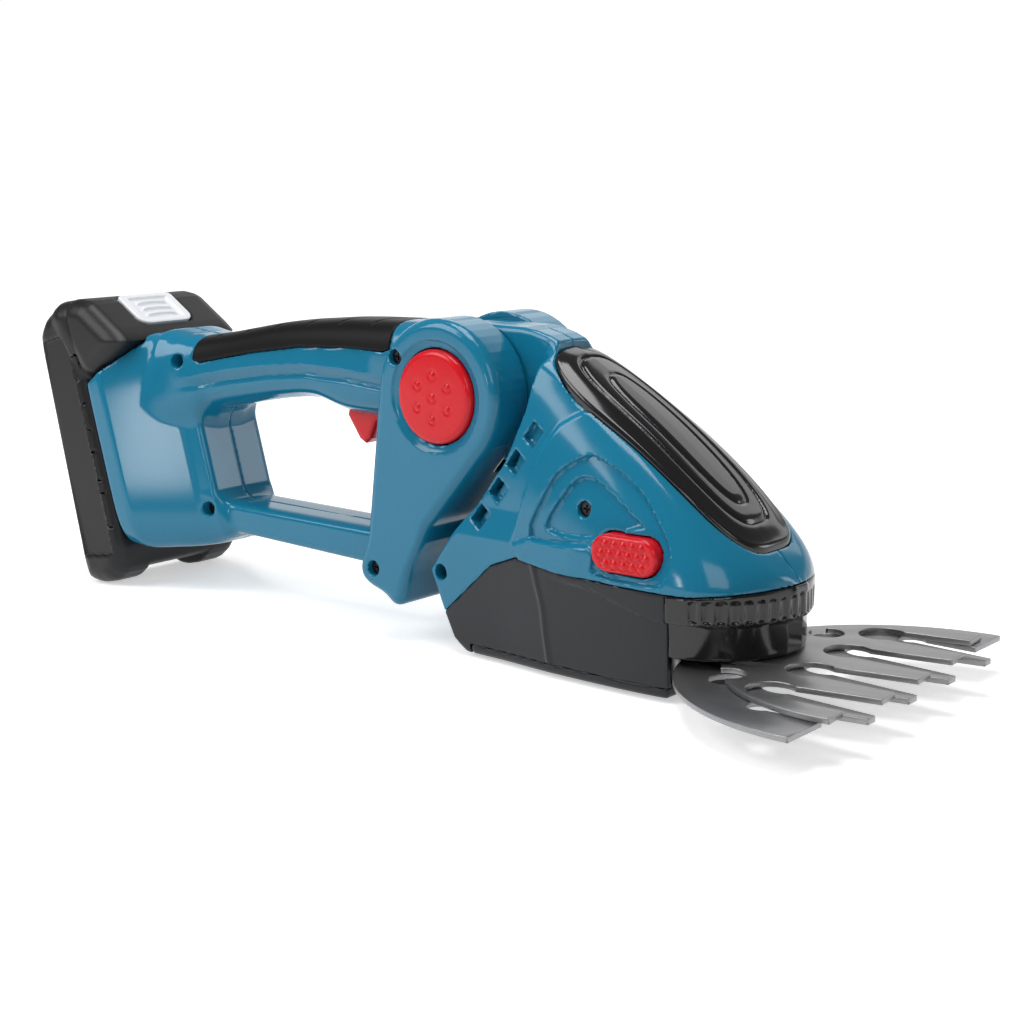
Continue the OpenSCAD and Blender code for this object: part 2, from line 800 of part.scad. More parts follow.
// Half disc across the fingers, through its rear end and the tips of its outer fingers, which stop
// short of the others
module fan_outline(width, tip, bow, step_share, rear) {
    half = width / 2;
    step = half * step_share;
    span = comb_reach - tip_bow;
    middle = (span * span + half * half - rear * rear) / (2 * (span - rear));
    intersection() {
        translate([middle, 0]) circle(r = middle - rear, $fn = 128);
        polygon([
            [-half, half], [-half, -half], [tip - bow, -half], [tip - bow, -step], [tip, -step], [tip, step],
            [tip - bow, step], [tip - bow, half],
        ]);
    }
}

// Place of a root or a window in the comb
function comb_place(p) = [p[0] * comb_reach, p[1] * comb_w / 2];

// Slot from a round relief at its root to its mouth at the tips
module blade_slot(root, mouth) {
    r = min(root_r, root_share * mouth[1]);
    translate(root) circle(r = r);
    hull() {
        translate(root) circle(r = r * window_share);
        translate([comb_reach + cut, mouth[0] - mouth[1] / 2]) square([cut, mouth[1]]);
    }
}

module fixed_comb() {
    color("#9a9da0") translate([pivot_ahead, 0, blade_z]) linear_extrude(blade_t) difference() {
        fan_outline(comb_w, comb_reach, tip_bow, comb_step_share, -comb_tail);
        for (i = [0 : len(comb_root_shares) - 1])
            blade_slot(comb_place(comb_root_shares[i]), comb_mouth_shares[i] * comb_w / 2);
        for (p = window_shares) translate(comb_place(p)) circle(r = root_r * window_share);
        circle(r = pivot_r);
        for (side = [-1, 1])
            translate([base_front - pivot_ahead, side * (seat_half - 2 * dowel_r)]) circle(r = dowel_r);
    }
}

module moving_blade() {
    tail = pivot_ahead - crank_ahead;
    slot_half = crank_pin_r + run_gap;
    teeth = len(comb_root_shares);
    color("#a9acae") translate([pivot_ahead, 0, moving_z]) rotate(blade_lean)
    linear_extrude(blade_t) difference() {
        union() {
            fan_outline(moving_w, comb_reach - tooth_short, tooth_short, moving_step_share, pivot_r);
            circle(r = 3 * pivot_r);
            translate([-tail - 2 * crank_pin_r, -2 * slot_half])
                square([tail + 2 * crank_pin_r, 4 * slot_half]);
        }
        for (i = [1 : teeth - 1])
            blade_slot([slot_ahead, (i - teeth / 2) * tooth_pitch],
                [(i - teeth / 2) * tooth_pitch, tooth_pitch - finger_w]);
        rotate(-blade_lean) for (p = window_shares)
            translate(comb_place(p)) circle(r = root_r * window_share);
        circle(r = pivot_r + run_gap);
        translate([-tail - 3 * crank_pin_r, -slot_half])
            square([4 * crank_pin_r + crank_throw, 2 * slot_half]);
    }
}

module blade_pivot() {
    color("#c2c4c6") translate([pivot_ahead, 0, sole_t]) union() {
        cylinder(r = pivot_r, h = moving_top + blade_gap - sole_t);
        translate([0, 0, moving_top + blade_gap - sole_t])
            cylinder(r = pivot_r + wall - button_gap, h = wall);
    }
}

// Handle

// Middle of the arm's front toe
function front_toe() = [hinge_x - arm_toe_back, hinge_h - arm_drop + arm_toe_r];

module arm_outline() {
    hull() {
        translate([hinge_x, hinge_h]) circle(r = cheek_r);
        translate([hinge_x - arm_back, hinge_h - arm_drop + 3 * arm_toe_r]) circle(r = arm_toe_r, $fn = 32);
        translate(front_toe()) circle(r = arm_toe_r, $fn = 32);
    }
}

// Direction from a point past one side of a disc
function past_disc(from, centre, r, side) =
    let (
        v = centre - from,
        a = atan2(v[1], v[0]) + side * asin(r / norm(v))
    )
    [cos(a), sin(a)];

// Space in front of the arm, whose corner is the arm's knee
module knee_space() {
    knee = [hinge_x - arm_knee_back, hinge_h - arm_knee_drop];
    reach = 2 * arm_drop;
    polygon([
        knee,
        knee + reach * past_disc(knee, front_toe(), arm_toe_r + fork_gap / 2, 1),
        knee + [2 * reach, 0],
        knee + reach * past_disc(knee, [hinge_x, hinge_h], cheek_r + fork_gap / 2, -1),
    ]);
}

// Arm with its cheeks, chamfered where the knee bends in
module arm_form() {
    low = cheek_out - arm_edge_r / 2;
    difference() {
        rounded_slab(cheek_out, arm_edge_r) arm_outline();
        side_slab(-head_w, head_w) knee_space();
        for (side = [-1, 1]) hull() {
            translate([0, side * low, 0]) side_slab(-cut / 2, cut / 2) knee_space();
            translate([0, side * (cheek_out + cut), 0]) side_slab(-cut / 2, cut / 2)
                offset(delta = arm_edge_r) knee_space();
        }
    }
}

function grip_point(p) = [hinge_x - p[0] * grip_len, hinge_h * p[1]];

function grip_ring(row, grow) = [
    for (p = oval_ring(grip_w / 2 * row[3] + grow, grip_h / 2 * row[2] + grow, soft_share, 24))
        [grip_point(row)[0], p[0], grip_point(row)[1] + p[1]]
];

module grip_form(grow) {
    loft([for (row = grip_station_shares) grip_ring(row, grow)]);
}

module bar_form(grow) {
    ends = [foot_x + foot_depth, hinge_x - arm_back + bar_h / 2];
    loft([
        for (i = [0, 1])
            let (row = bar_station_shares[i])
            [
                for (p = oval_ring(bar_w / 2 + grow, bar_h / 2 * row[1] + grow, square_share, 24))
                    [ends[i], p[0], bar_z * row[0] + p[1]]
            ]
    ]);
}

function foot_ring(row, grow) =
    let (
        half = foot_len / 2,
        x = row[0] * foot_depth + (row[0] == 0 ? -grow : row[0] == 1 ? grow : 0),
        mid = half * (row[1] + row[2]) / 2
    )
    [
        for (p = oval_ring(foot_w / 2 * row[3] + grow, half * (row[2] - row[1]) / 2 + grow, square_share, 32))
            [x, p[0], mid + p[1]]
    ];

module foot_form(grow) {
    at_foot() loft([for (row = foot_station_shares) foot_ring(row, grow)]);
}

// Layer of the grip under the rubber pad
module pad_layer(rise) {
    intersection() {
        difference() {
            grip_form(rise);
            grip_form(-pad_t);
        }
        side_slab(-grip_w, grip_w) polygon([for (p = pad_line_shares) grip_point(p)]);
    }
}

module grip_pad() {
    color("#1c1c1e") moulded() pad_layer(0);
}

// Room for the tongue between the cheeks, over the whole fold
module fork_cut() {
    side_slab(-fork_half, fork_half) {
        translate([hinge_x, hinge_h]) circle(r = slot_r);
        translate([hinge_x, hinge_h - cheek_r]) square([2 * cheek_r, 3 * cheek_r]);
        translate([hinge_x, hinge_h]) rotate(fold_max) translate([-hinge_x, -hinge_h])
            offset(delta = fork_gap) tongue_outline();
    }
}

// Hollows of the handle
module handle_hollows() {
    difference() {
        union() {
            side_slab(-cheek_out + wall, cheek_out - wall) difference() {
                offset(delta = -wall) arm_outline();
                offset(delta = wall) knee_space();
            }
            grip_form(-wall - pad_t);
            foot_form(-wall);
            bar_form(-wall);
        }
        side_slab(-cheek_out, cheek_out) translate([hinge_x, hinge_h]) circle(r = cheek_r + wall);
        for (p = handle_screw_shares)
            cross_pin(grip_point(p), screw_head_r + wall / 2, -cheek_out, cheek_out, $fn = 24);
        mid_box(switch_front - switch_len + wall, switch_front - wall, grip_w, 0, switch_z - switch_h / 2);
        at_foot() mid_box(terminal_front, foot_depth, rail_neck / 2, -rail_neck / 2, wall - rail_neck / 2);
        for (side = [-1, 1])
            cross_pin([trigger_x, trigger_z], 2 * trigger_pin_r,
                side > 0 ? trigger_w / 2 + button_gap : -grip_w,
                side > 0 ? grip_w : -trigger_w / 2 - button_gap);
    }
}

// Way of the slide rail through the foot, open at the top
module rail_way() {
    low = -foot_len / 2 + rail_end;
    at_foot() {
        mid_box(-cut, rail_depth + battery_gap, rail_neck / 2 + battery_gap, low, foot_len);
        mid_box(rail_lip - battery_gap, rail_depth + battery_gap, rail_w / 2 + battery_gap, low, foot_len);
    }
}

// Opening under the grip for the trigger
module trigger_way() {
    mid_box(trigger_x - trigger_reach - wall, trigger_x + 3 * trigger_pin_r + wall,
        trigger_w / 2 + button_gap, trigger_z - trigger_reach, trigger_z + 3 * trigger_pin_r);
}

// Distance from the middle plane to a handle screw's head
function handle_screw_y(i) = (i < 2 ? cheek_out : grip_w / 2) - screw_sunk;

module handle_shell(side) {
    difference() {
        moulded() intersection() {
            difference() {
                union() {
                    arm_form();
                    grip_form(0);
                    bar_form(0);
                    foot_form(0);
                }
                handle_hollows();
                pad_layer(cut);
                fork_cut();
                rail_way();
                trigger_way();
                at_foot() side_slab(-battery_w, battery_w) offset(delta = battery_gap) battery_outline();
            }
            half_space(side);
        }
        cross_pin([hinge_x, hinge_h], axle_r, -cheek_out, cheek_out);
        cross_pin([hinge_x, hinge_h], fold_button_r + button_gap,
            side > 0 ? cheek_out - recess_depth : -cheek_out - cut,
            side > 0 ? cheek_out + cut : recess_depth - cheek_out);
        cross_pin([trigger_x, trigger_z], trigger_pin_r, -grip_w / 2 + wall, grip_w / 2 - wall);
        for (i = [0 : len(handle_screw_shares) - 1]) {
            cross_pin(grip_point(handle_screw_shares[i]), screw_head_r + run_gap, -cheek_out - cut,
                screw_head_h - handle_screw_y(i), $fn = 24);
            cross_pin(grip_point(handle_screw_shares[i]), screw_r, -cheek_out, screw_len - handle_screw_y(i));
        }
    }
}

module handle_shell_right() {
    color("#1f6f8f") handle_shell(-1);
}

module handle_shell_left() {
    color("#1f6f8f") handle_shell(1);
}

module handle_screws() {
    color("#3a3b3d") for (i = [0 : len(handle_screw_shares) - 1])
        housing_screw(grip_point(handle_screw_shares[i]), -handle_screw_y(i));
}

// Axle through both cheeks, whose ends guide the fold buttons
module hinge_axle() {
    color("#b5b8bb") cross_pin([hinge_x, hinge_h], axle_r, -axle_half, axle_half);
}

// Round button over the end of the axle, with a socket for it and a spring pocket
module fold_button() {
    outer = cheek_out + fold_button_proud;
    inner = outer - fold_button_t;
    bottom = axle_half + fold_travel + button_gap;
    rotate_y_up() difference() {
        translate([0, 0, inner]) cylinder(r = fold_button_r, h = fold_button_t);
        translate([0, 0, inner - cut]) cylinder(r = axle_r + run_gap, h = bottom - inner + cut);
        translate([0, 0, inner - cut]) difference() {
            cylinder(r = spring_shares[1] * axle_r, h = cut + fold_button_t / 2);
            translate([0, 0, -cut]) cylinder(r = spring_shares[0] * axle_r, h = fold_button_t + 2 * cut);
        }
    }
}

// Turns Z to +Y about the hinge axis
module rotate_y_up() {
    translate([hinge_x, 0, hinge_h]) rotate([-90, 0, 0]) children();
}

module fold_button_right() {
    color("#d3202e") mirror([0, 1, 0]) fold_button();
}

module fold_button_left() {
    color("#d3202e") fold_button();
}

module trigger() {
    color("#d3202e") difference() {
        side_slab(-trigger_w / 2, trigger_w / 2) translate([trigger_x, trigger_z])
            polygon([for (p = trigger_shares) p * trigger_reach]);
        cross_pin([trigger_x, trigger_z], trigger_pin_r + run_gap, -trigger_w, trigger_w);
    }
}

module trigger_pin() {
    half = grip_w / 2 - 2 * wall;
    color("#b5b8bb") cross_pin([trigger_x, trigger_z], trigger_pin_r, -half, half);
}

// Switch behind the trigger, with its plunger
module trigger_switch() {
    color("#2a2a2c") union() {
        mid_box(switch_front - switch_len, switch_front, trigger_w / 2, switch_z - switch_h / 2,
            switch_z + switch_h / 2);
        translate([switch_front, 0, switch_z]) rotate([0, 90, 0])
            cylinder(r = switch_h / 4, h = switch_plunger);
    }
}

// Battery

function battery_point(p) = [-battery_gap + p[0] * battery_t, p[1] * battery_len / 2];

// Side view of the pack itself
module pack_outline() {
    top = [for (i = [1 : len(battery_top_shares) - 1]) battery_point(battery_top_shares[i])];
    polygon(concat([for (p = battery_low_shares) battery_point(p)], [[-battery_gap, top[0][1]]], top));
}

// Side view of the latch housing, which overhangs the rear foot
module latch_housing_outline() {
    polygon([
        [-battery_gap, latch_base], [latch_depth, lip_z], [latch_depth, lip_z + wall],
        battery_point(battery_top_shares[0]), battery_point(battery_top_shares[1]),
    ]);
}

module battery_outline() {
    pack_outline();
    latch_housing_outline();
}

module battery_case() {
    color("#232427") at_foot() moulded() difference() {
        union() {
            rounded_slab(battery_w / 2, battery_corner_r) pack_outline();
            rounded_slab(battery_w / 2, battery_corner_r) latch_housing_outline();
        }
        at_latch() translate([0, 0, -latch_t - latch_travel])
            linear_extrude(latch_t + latch_travel + cut) latch_outline(button_gap);
    }
}

// Places children on the sloping face that holds the latch button, with Z out of that face
module at_latch() {
    low = [latch_depth, lip_z + wall];
    high = battery_point(battery_top_shares[0]);
    middle = high + (low - high) * latch_share;
    translate([middle[0], 0, middle[1]])
        rotate([0, 90 - atan2(low[0] - high[0], high[1] - low[1]), 0]) children();
}

module latch_outline(grow) {
    corner = latch_len / 4;
    hull() for (y = [-1, 1]) {
        translate([latch_len / 2 - corner, y * (latch_w / 2 - corner)]) circle(r = corner + grow);
        translate([-latch_len / 2 + corner / 2, y * (latch_w / 2 - corner / 2)])
            circle(r = corner / 2 + grow);
    }
}

module battery_latch() {
    color("#e4e6e8") at_foot() at_latch() translate([0, 0, -latch_t])
        linear_extrude(latch_t + latch_proud) latch_outline(0);
}

module battery_rail() {
    low = -foot_len / 2 + rail_end + battery_gap;
    color("#232427") at_foot() union() {
        mid_box(-battery_gap, rail_depth, rail_neck / 2, low, latch_base);
        mid_box(rail_lip, rail_depth, rail_w / 2, low, latch_base);
    }
}

// Contact block in the foot, ahead of the slide rail
module terminal_block() {
    color("#3b3d40") at_foot() union() {
        mid_box(terminal_front - terminal_t, terminal_front, rail_neck / 2, -rail_neck / 2, rail_neck / 2);
        for (y = [-1, 0, 1])
            translate([terminal_front, y * rail_neck / 3, 0]) rotate([0, 90, 0])
                cylinder(r = terminal_t / 4, h = terminal_t);
    }
}

handle_shell_right();
handle_shell_left();
grip_pad();
hinge_axle();
trigger_pin();
trigger_switch();
terminal_block();
handle_screws();
trigger();
fold_button_right();
fold_button_left();
battery_case();
battery_rail();
battery_latch();
head_shell_right();
head_shell_left();
roof_panel();
base_cover();
nose_cap();
sole_plate();
gear_frame();
motor_can();
gear_axles();
fixed_comb();
blade_pivot();
head_screws();
blade_button_right();
blade_button_left();
motor_rotor();
pinion();
idler_gear();
crank_gear();
moving_blade();
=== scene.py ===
import json
import math

import bmesh
import bpy
import numpy as np
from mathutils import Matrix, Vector


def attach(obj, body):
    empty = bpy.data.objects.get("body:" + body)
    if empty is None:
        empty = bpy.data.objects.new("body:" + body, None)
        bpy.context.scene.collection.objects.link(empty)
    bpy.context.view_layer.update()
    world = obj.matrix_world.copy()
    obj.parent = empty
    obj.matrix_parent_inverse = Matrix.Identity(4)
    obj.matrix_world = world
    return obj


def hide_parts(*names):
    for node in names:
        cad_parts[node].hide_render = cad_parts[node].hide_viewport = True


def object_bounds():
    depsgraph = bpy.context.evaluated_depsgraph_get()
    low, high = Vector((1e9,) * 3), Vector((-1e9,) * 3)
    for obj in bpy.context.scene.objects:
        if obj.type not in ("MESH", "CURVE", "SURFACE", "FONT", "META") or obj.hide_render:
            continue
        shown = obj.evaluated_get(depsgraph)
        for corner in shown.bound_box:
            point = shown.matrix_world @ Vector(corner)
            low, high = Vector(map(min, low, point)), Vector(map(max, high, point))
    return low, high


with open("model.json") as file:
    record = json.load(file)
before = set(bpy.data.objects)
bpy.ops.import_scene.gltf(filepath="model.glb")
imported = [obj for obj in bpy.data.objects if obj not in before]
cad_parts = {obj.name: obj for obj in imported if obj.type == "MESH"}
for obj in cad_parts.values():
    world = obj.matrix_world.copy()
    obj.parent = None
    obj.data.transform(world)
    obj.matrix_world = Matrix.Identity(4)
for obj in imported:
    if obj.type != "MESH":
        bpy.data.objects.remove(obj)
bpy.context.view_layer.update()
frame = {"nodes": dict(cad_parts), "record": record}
nodes = frame["nodes"]

# Forms are signed distances in millimetres, in the part's own frame: x forward, y to the left and z up.
# A side is -1 for the right half and 1 for the left one. Meshes are in metres.

MM = 0.001
TINY = 1e-6


# Shapes as signed distances

def rmax(a, b, r):
    """Intersection whose edge is rounded with radius r."""
    return np.minimum(np.maximum(a, b), -r) + np.hypot(np.maximum(a + r, 0), np.maximum(b + r, 0))


def rmin(a, b, r):
    """Union whose inner corner is filleted with radius r."""
    return -rmax(-a, -b, r)


def meet(first, *others):
    """Intersection with sharp edges."""
    for d in others:
        first = np.maximum(first, d)
    return first


def fade(v, start, over):
    """0 up to a start and 1 past it, with a smooth rise in between."""
    t = np.clip((v - start) / over, 0, 1)
    return t * t * (3 - 2 * t)


def swell(d, width):
    """1 at a distance of zero, falling off to both sides."""
    return np.exp(-(d / width) ** 2)


def curve(rows, n):
    """n rows along a smooth curve through the given rows."""
    p = np.array(rows, float)
    p = np.vstack([2 * p[0] - p[1], p, 2 * p[-1] - p[-2]])
    u = np.linspace(0, len(p) - 3, n)
    i = np.minimum(u.astype(int), len(p) - 4)
    t = (u - i)[:, None]
    a, b, c, d = p[i], p[i + 1], p[i + 2], p[i + 3]
    return 0.5 * (2 * b + (c - a) * t + (2 * a - 5 * b + 4 * c - d) * t**2 + (3 * b - a - 3 * c + d) * t**3)


def along(rows, x, column, n=200):
    """Value of one column of a smooth table at x, where column 0 rises."""
    dense = curve(rows, n)
    return np.interp(x, dense[:, 0], dense[:, column])


def line(rows, x):
    """Height at x of a run of straight lines."""
    p = np.array(rows, float)
    return np.interp(x, p[:, 0], p[:, 1])


def squared(x, z, a, b):
    """Squared distance to the straight line from a to b."""
    ex, ez = b[0] - a[0], b[1] - a[1]
    wx, wz = x - a[0], z - a[1]
    t = np.clip((wx * ex + wz * ez) / (ex * ex + ez * ez), 0, 1)
    return (wx - ex * t) ** 2 + (wz - ez * t) ** 2


def poly(x, z, points):
    """Signed distance to a closed outline."""
    points = [tuple(p) for p in points]
    far, inside = None, None
    for a, b in zip(points, points[1:] + points[:1]):
        q = squared(x, z, a, b)
        over, under = z >= a[1], z < b[1]
        left = (b[0] - a[0]) * (z - a[1]) > (b[1] - a[1]) * (x - a[0])
        flip = (over & under & left) | (~over & ~under & ~left)
        far = q if far is None else np.minimum(far, q)
        inside = flip if inside is None else inside ^ flip
    return np.where(inside, -1, 1) * np.sqrt(far)


def near(x, z, points):
    """Distance to an open run of points."""
    far = None
    for a, b in zip(points, points[1:]):
        q = squared(x, z, a, b)
        far = q if far is None else np.minimum(far, q)
    return np.sqrt(far)


def smooth_loop(points, n=60):
    """Closed smooth outline through the points, taken from the middle of a run that goes round further."""
    p = [tuple(q) for q in points]
    rows = curve(p[-2:] + p + p[:3], n * 2)
    spans = len(p) + 4
    keep = rows[int(len(rows) * 2 / spans):int(len(rows) * (len(p) + 2) / spans)]
    return [tuple(q) for q in keep[::2]]


def hull(discs, n=48):
    """Outline round several discs of (x, z, radius)."""
    ring = np.linspace(0, 2 * math.pi, n, endpoint=False)
    pts = sorted((x + r * math.cos(a), z + r * math.sin(a)) for x, z, r in discs
                 for a in (ring if r else ring[:1]))

    def outside(points):
        out = []
        for p in points:
            while len(out) > 1 and (out[-1][0] - out[-2][0]) * (p[1] - out[-2][1]) <= (
                    out[-1][1] - out[-2][1]) * (p[0] - out[-2][0]):
                out.pop()
            out.append(p)
        return out[:-1]

    return outside(pts) + outside(pts[::-1])


def soften(points, cut=5.0, rounds=2, most=0.33):
    """Cuts the corners of an outline, by no more than a share of each side, so that it bends smoothly."""
    for _ in range(rounds):
        p = np.array(points, float)
        out = []
        for a, b in zip(p, np.roll(p, -1, 0)):
            share = min(most, cut / np.linalg.norm(b - a))
            out += [a + (b - a) * share, b - (b - a) * share]
        points, cut = out, cut / 3
    return points


def oval(u, v, a, b, power):
    """About the distance to a rounded square with half sizes a and b."""
    u, v = np.abs(u) / a + TINY, np.abs(v) / b + TINY
    n = 2 / power
    r = (u**n + v**n) ** (1 / n)
    return (r - 1) / np.hypot((u / r) ** (n - 1) / a, (v / r) ** (n - 1) / b)


def slab(v, lo, hi):
    """Between two limits."""
    return np.maximum(lo - v, v - hi)


def rod(u, v, place, r):
    """Round rod or hole at a place, along the third axis."""
    return np.hypot(u - place[0], v - place[1]) - r


# Meshes from signed distances

MARGIN = 1.5  # cells added round a box
SETTLE = 2  # times that the vertices move onto the surface
STRIDE = 0.5  # largest such move, in cells
PROBE = 0.2  # distance over which a slope is measured, in cells
LEAST_SLOPE, LEAST_MOVE = 0.2, 1e-9  # least squared slope and least move that divide
SHARP = math.radians(38)  # turn past which an edge shows
CORNERS = [(i, j, k) for i in (0, 1) for j in (0, 1) for k in (0, 1)]
EDGES = [(a, b) for a in range(8) for b in range(a + 1, 8)
         if sum(abs(p - q) for p, q in zip(CORNERS[a], CORNERS[b])) == 1]


def net(form, lo, hi, size):
    """Vertices and quads on the zero level of a form inside a box, one vertex to a cell that it crosses."""
    lo = np.array(lo, float) - MARGIN * size
    count = np.ceil((np.array(hi, float) + MARGIN * size - lo) / size).astype(int) + 1
    ax = [lo[i] + size * np.arange(count[i]) for i in range(3)]
    v = form(ax[0][:, None, None], ax[1][None, :, None], ax[2][None, None, :])
    v = np.broadcast_to(v, count).astype(np.float32)
    inner = v < 0
    total = sum(inner[i:count[0] - 1 + i, j:count[1] - 1 + j, k:count[2] - 1 + k].astype(np.int8)
                for i, j, k in CORNERS)
    cells = np.argwhere((total > 0) & (total < len(CORNERS)))
    index = np.full(count - 1, -1, np.int64)
    index[tuple(cells.T)] = np.arange(len(cells))
    at = np.stack([v[tuple((cells + c).T)] for c in CORNERS], 1)
    spot = np.zeros((len(cells), 3))
    hits = np.zeros(len(cells))
    for a, b in EDGES:
        va, vb = at[:, a], at[:, b]
        cross = (va < 0) != (vb < 0)
        t = np.where(cross, va / np.where(cross, va - vb, 1), 0)
        pa, pb = np.array(CORNERS[a], float), np.array(CORNERS[b], float)
        spot += np.where(cross[:, None], pa + (pb - pa) * t[:, None], 0)
        hits += cross
    p = lo + (cells + spot / hits[:, None]) * size
    faces = []
    for axis in range(3):
        one, two = [(1, 2), (2, 0), (0, 1)][axis]
        cut = [slice(1, None)] * 3
        cut[axis] = slice(0, -1)
        low, high = inner[tuple(cut)], inner[1:, 1:, 1:]
        e = np.argwhere(low != high)
        up = low[tuple(e.T)]
        shift = np.ones(3, int)
        shift[axis] = 0
        e = e + shift
        ok = np.all(e < count - 1, 1)
        e, up = e[ok], up[ok]
        du, dv = np.eye(3, dtype=int)[one], np.eye(3, dtype=int)[two]
        quad = np.stack([index[tuple((e - o).T)] for o in (du + dv, dv, 0 * du, du)], 1)
        faces.append(np.where(up[:, None], quad, quad[:, ::-1]))
    faces = np.concatenate(faces)
    h = PROBE * size
    for _ in range(SETTLE):
        g = np.stack([form(*(p + d).T) - form(*(p - d).T) for d in np.eye(3) * h], 1) / (2 * h)
        f = form(*p.T)
        move = -(f / np.maximum((g * g).sum(1), LEAST_SLOPE))[:, None] * g
        far = np.linalg.norm(move, axis=1)
        p = p + move * np.minimum(1, STRIDE * size / np.maximum(far, LEAST_MOVE))[:, None]
    return p, faces


def mesh_piece(name, verts, faces):
    """Object of quads, smooth except across sharp edges."""
    me = bpy.data.meshes.new(name)
    n = len(faces[0])
    me.vertices.add(len(verts))
    me.vertices.foreach_set("co", (np.asarray(verts) * MM).astype(np.float32).ravel())
    me.loops.add(len(faces) * n)
    me.loops.foreach_set("vertex_index", np.asarray(faces).astype(np.int32).ravel())
    me.polygons.add(len(faces))
    me.polygons.foreach_set("loop_start", (np.arange(len(faces)) * n).astype(np.int32))
    me.update(calc_edges=True)
    me.validate()
    me.shade_smooth()
    me.set_sharp_from_angle(angle=SHARP)
    o = bpy.data.objects.new(name, me)
    bpy.context.scene.collection.objects.link(o)
    return o


def piece(node, body, slot, form, lo, hi, size):
    """Meshes a form between two corners of a box, in cells of a size, in place of a CAD node."""
    verts, faces = net(form, lo, hi, size)
    o = mesh_piece("v_" + node, verts, faces)
    o.data.materials.append(MATERIALS[slot])
    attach(o, body)
    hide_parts(node)


# Materials

BROAD, BROAD_SHARE = 22, 0.4  # scale of the broad grain, and its share beside the fine one
GRAIN_HEIGHT = 0.0002
# Painted highlight: convex edges are paled by their pointiness in place of light caught on them.
EDGE_FROM, EDGE_TO = 0.53, 0.62  # pointiness over which an edge starts to pale
PALE_GAIN, PALE_ADD, TINT_ADD = 1.5, 0.02, 0.002
ROUGH_LOW, ROUGH_HIGH = 0.85, 1.15  # shares of a finish's roughness over its grain


def material(name, color, rough, metal=0.0, spread=0.06, grain=900.0, bump=0.03, stretch=None, edge_highlight=0.0,
             shine=0.5):
    """Plastic, rubber or metal with a fine grain that varies its colour, roughness and surface, and a painted
    highlight that pales its edges where asked.
    """
    m = bpy.data.materials.new(name)
    m.use_nodes = True
    t = m.node_tree
    b = t.nodes["Principled BSDF"]
    add, join = t.nodes.new, t.links.new

    def mix(kind, share, first, second):
        node = add("ShaderNodeMix")
        node.data_type = kind
        at = 2 if kind == "FLOAT" else 6
        for i, value in ((0, share), (at, first), (at + 1, second)):
            if isinstance(value, bpy.types.NodeSocket):
                join(value, node.inputs[i])
            else:
                node.inputs[i].default_value = value
        return node.outputs[0 if kind == "FLOAT" else 2]

    def noise(scale, detail):
        node = add("ShaderNodeTexNoise")
        node.inputs["Scale"].default_value = scale
        node.inputs["Detail"].default_value = detail
        join(mapping.outputs["Vector"], node.inputs["Vector"])
        return node.outputs["Fac"]

    where = add("ShaderNodeTexCoord")
    mapping = add("ShaderNodeMapping")
    mapping.inputs["Scale"].default_value = stretch or (1, 1, 1)
    join(where.outputs["Object"], mapping.inputs["Vector"])
    fine = noise(grain, detail=4)
    blend = mix("FLOAT", BROAD_SHARE, fine, noise(BROAD, detail=3))
    base = mix("RGBA", blend, [c * (1 - spread) for c in color] + [1],
               [min(1, c * (1 + spread) + TINT_ADD) for c in color] + [1])
    # Painted highlight: edges paled by their pointiness stand in for light caught on convex edges.
    if edge_highlight:
        edge = add("ShaderNodeNewGeometry").outputs["Pointiness"]
        painted_edge_highlight = scaled(t, edge, EDGE_FROM, EDGE_TO, low=0, high=edge_highlight)
        base = mix("RGBA", painted_edge_highlight, base, [min(1, c * PALE_GAIN + PALE_ADD) for c in color] + [1])
    join(base, b.inputs["Base Color"])
    matt = scaled(t, blend, 0, 1, low=rough * ROUGH_LOW, high=rough * ROUGH_HIGH)
    join(matt, b.inputs["Roughness"])
    b.inputs["Metallic"].default_value = metal
    b.inputs["Specular IOR Level"].default_value = shine
    rise = add("ShaderNodeBump")
    rise.inputs["Strength"].default_value = bump
    rise.inputs["Distance"].default_value = GRAIN_HEIGHT
    join(fine, rise.inputs["Height"])
    join(rise.outputs["Normal"], b.inputs["Normal"])
    return m


def scaled(tree, source, start, end, low, high, smooth=False):
    """Maps a source from start and end to low and high."""
    ramp = tree.nodes.new("ShaderNodeMapRange")
    ramp.interpolation_type = "SMOOTHSTEP" if smooth else "LINEAR"
    for i, value in enumerate((start, end, low, high), 1):
        ramp.inputs[i].default_value = value
    tree.links.new(source, ramp.inputs[0])
    return ramp.outputs[0]


def combine(tree, a, b, how="MULTIPLY"):
    """Product of two values, or what another operation makes of them."""
    node = tree.nodes.new("ShaderNodeMath")
    node.operation = how
    tree.links.new(a, node.inputs[0])
    tree.links.new(b, node.inputs[1])
    return node.outputs[0]
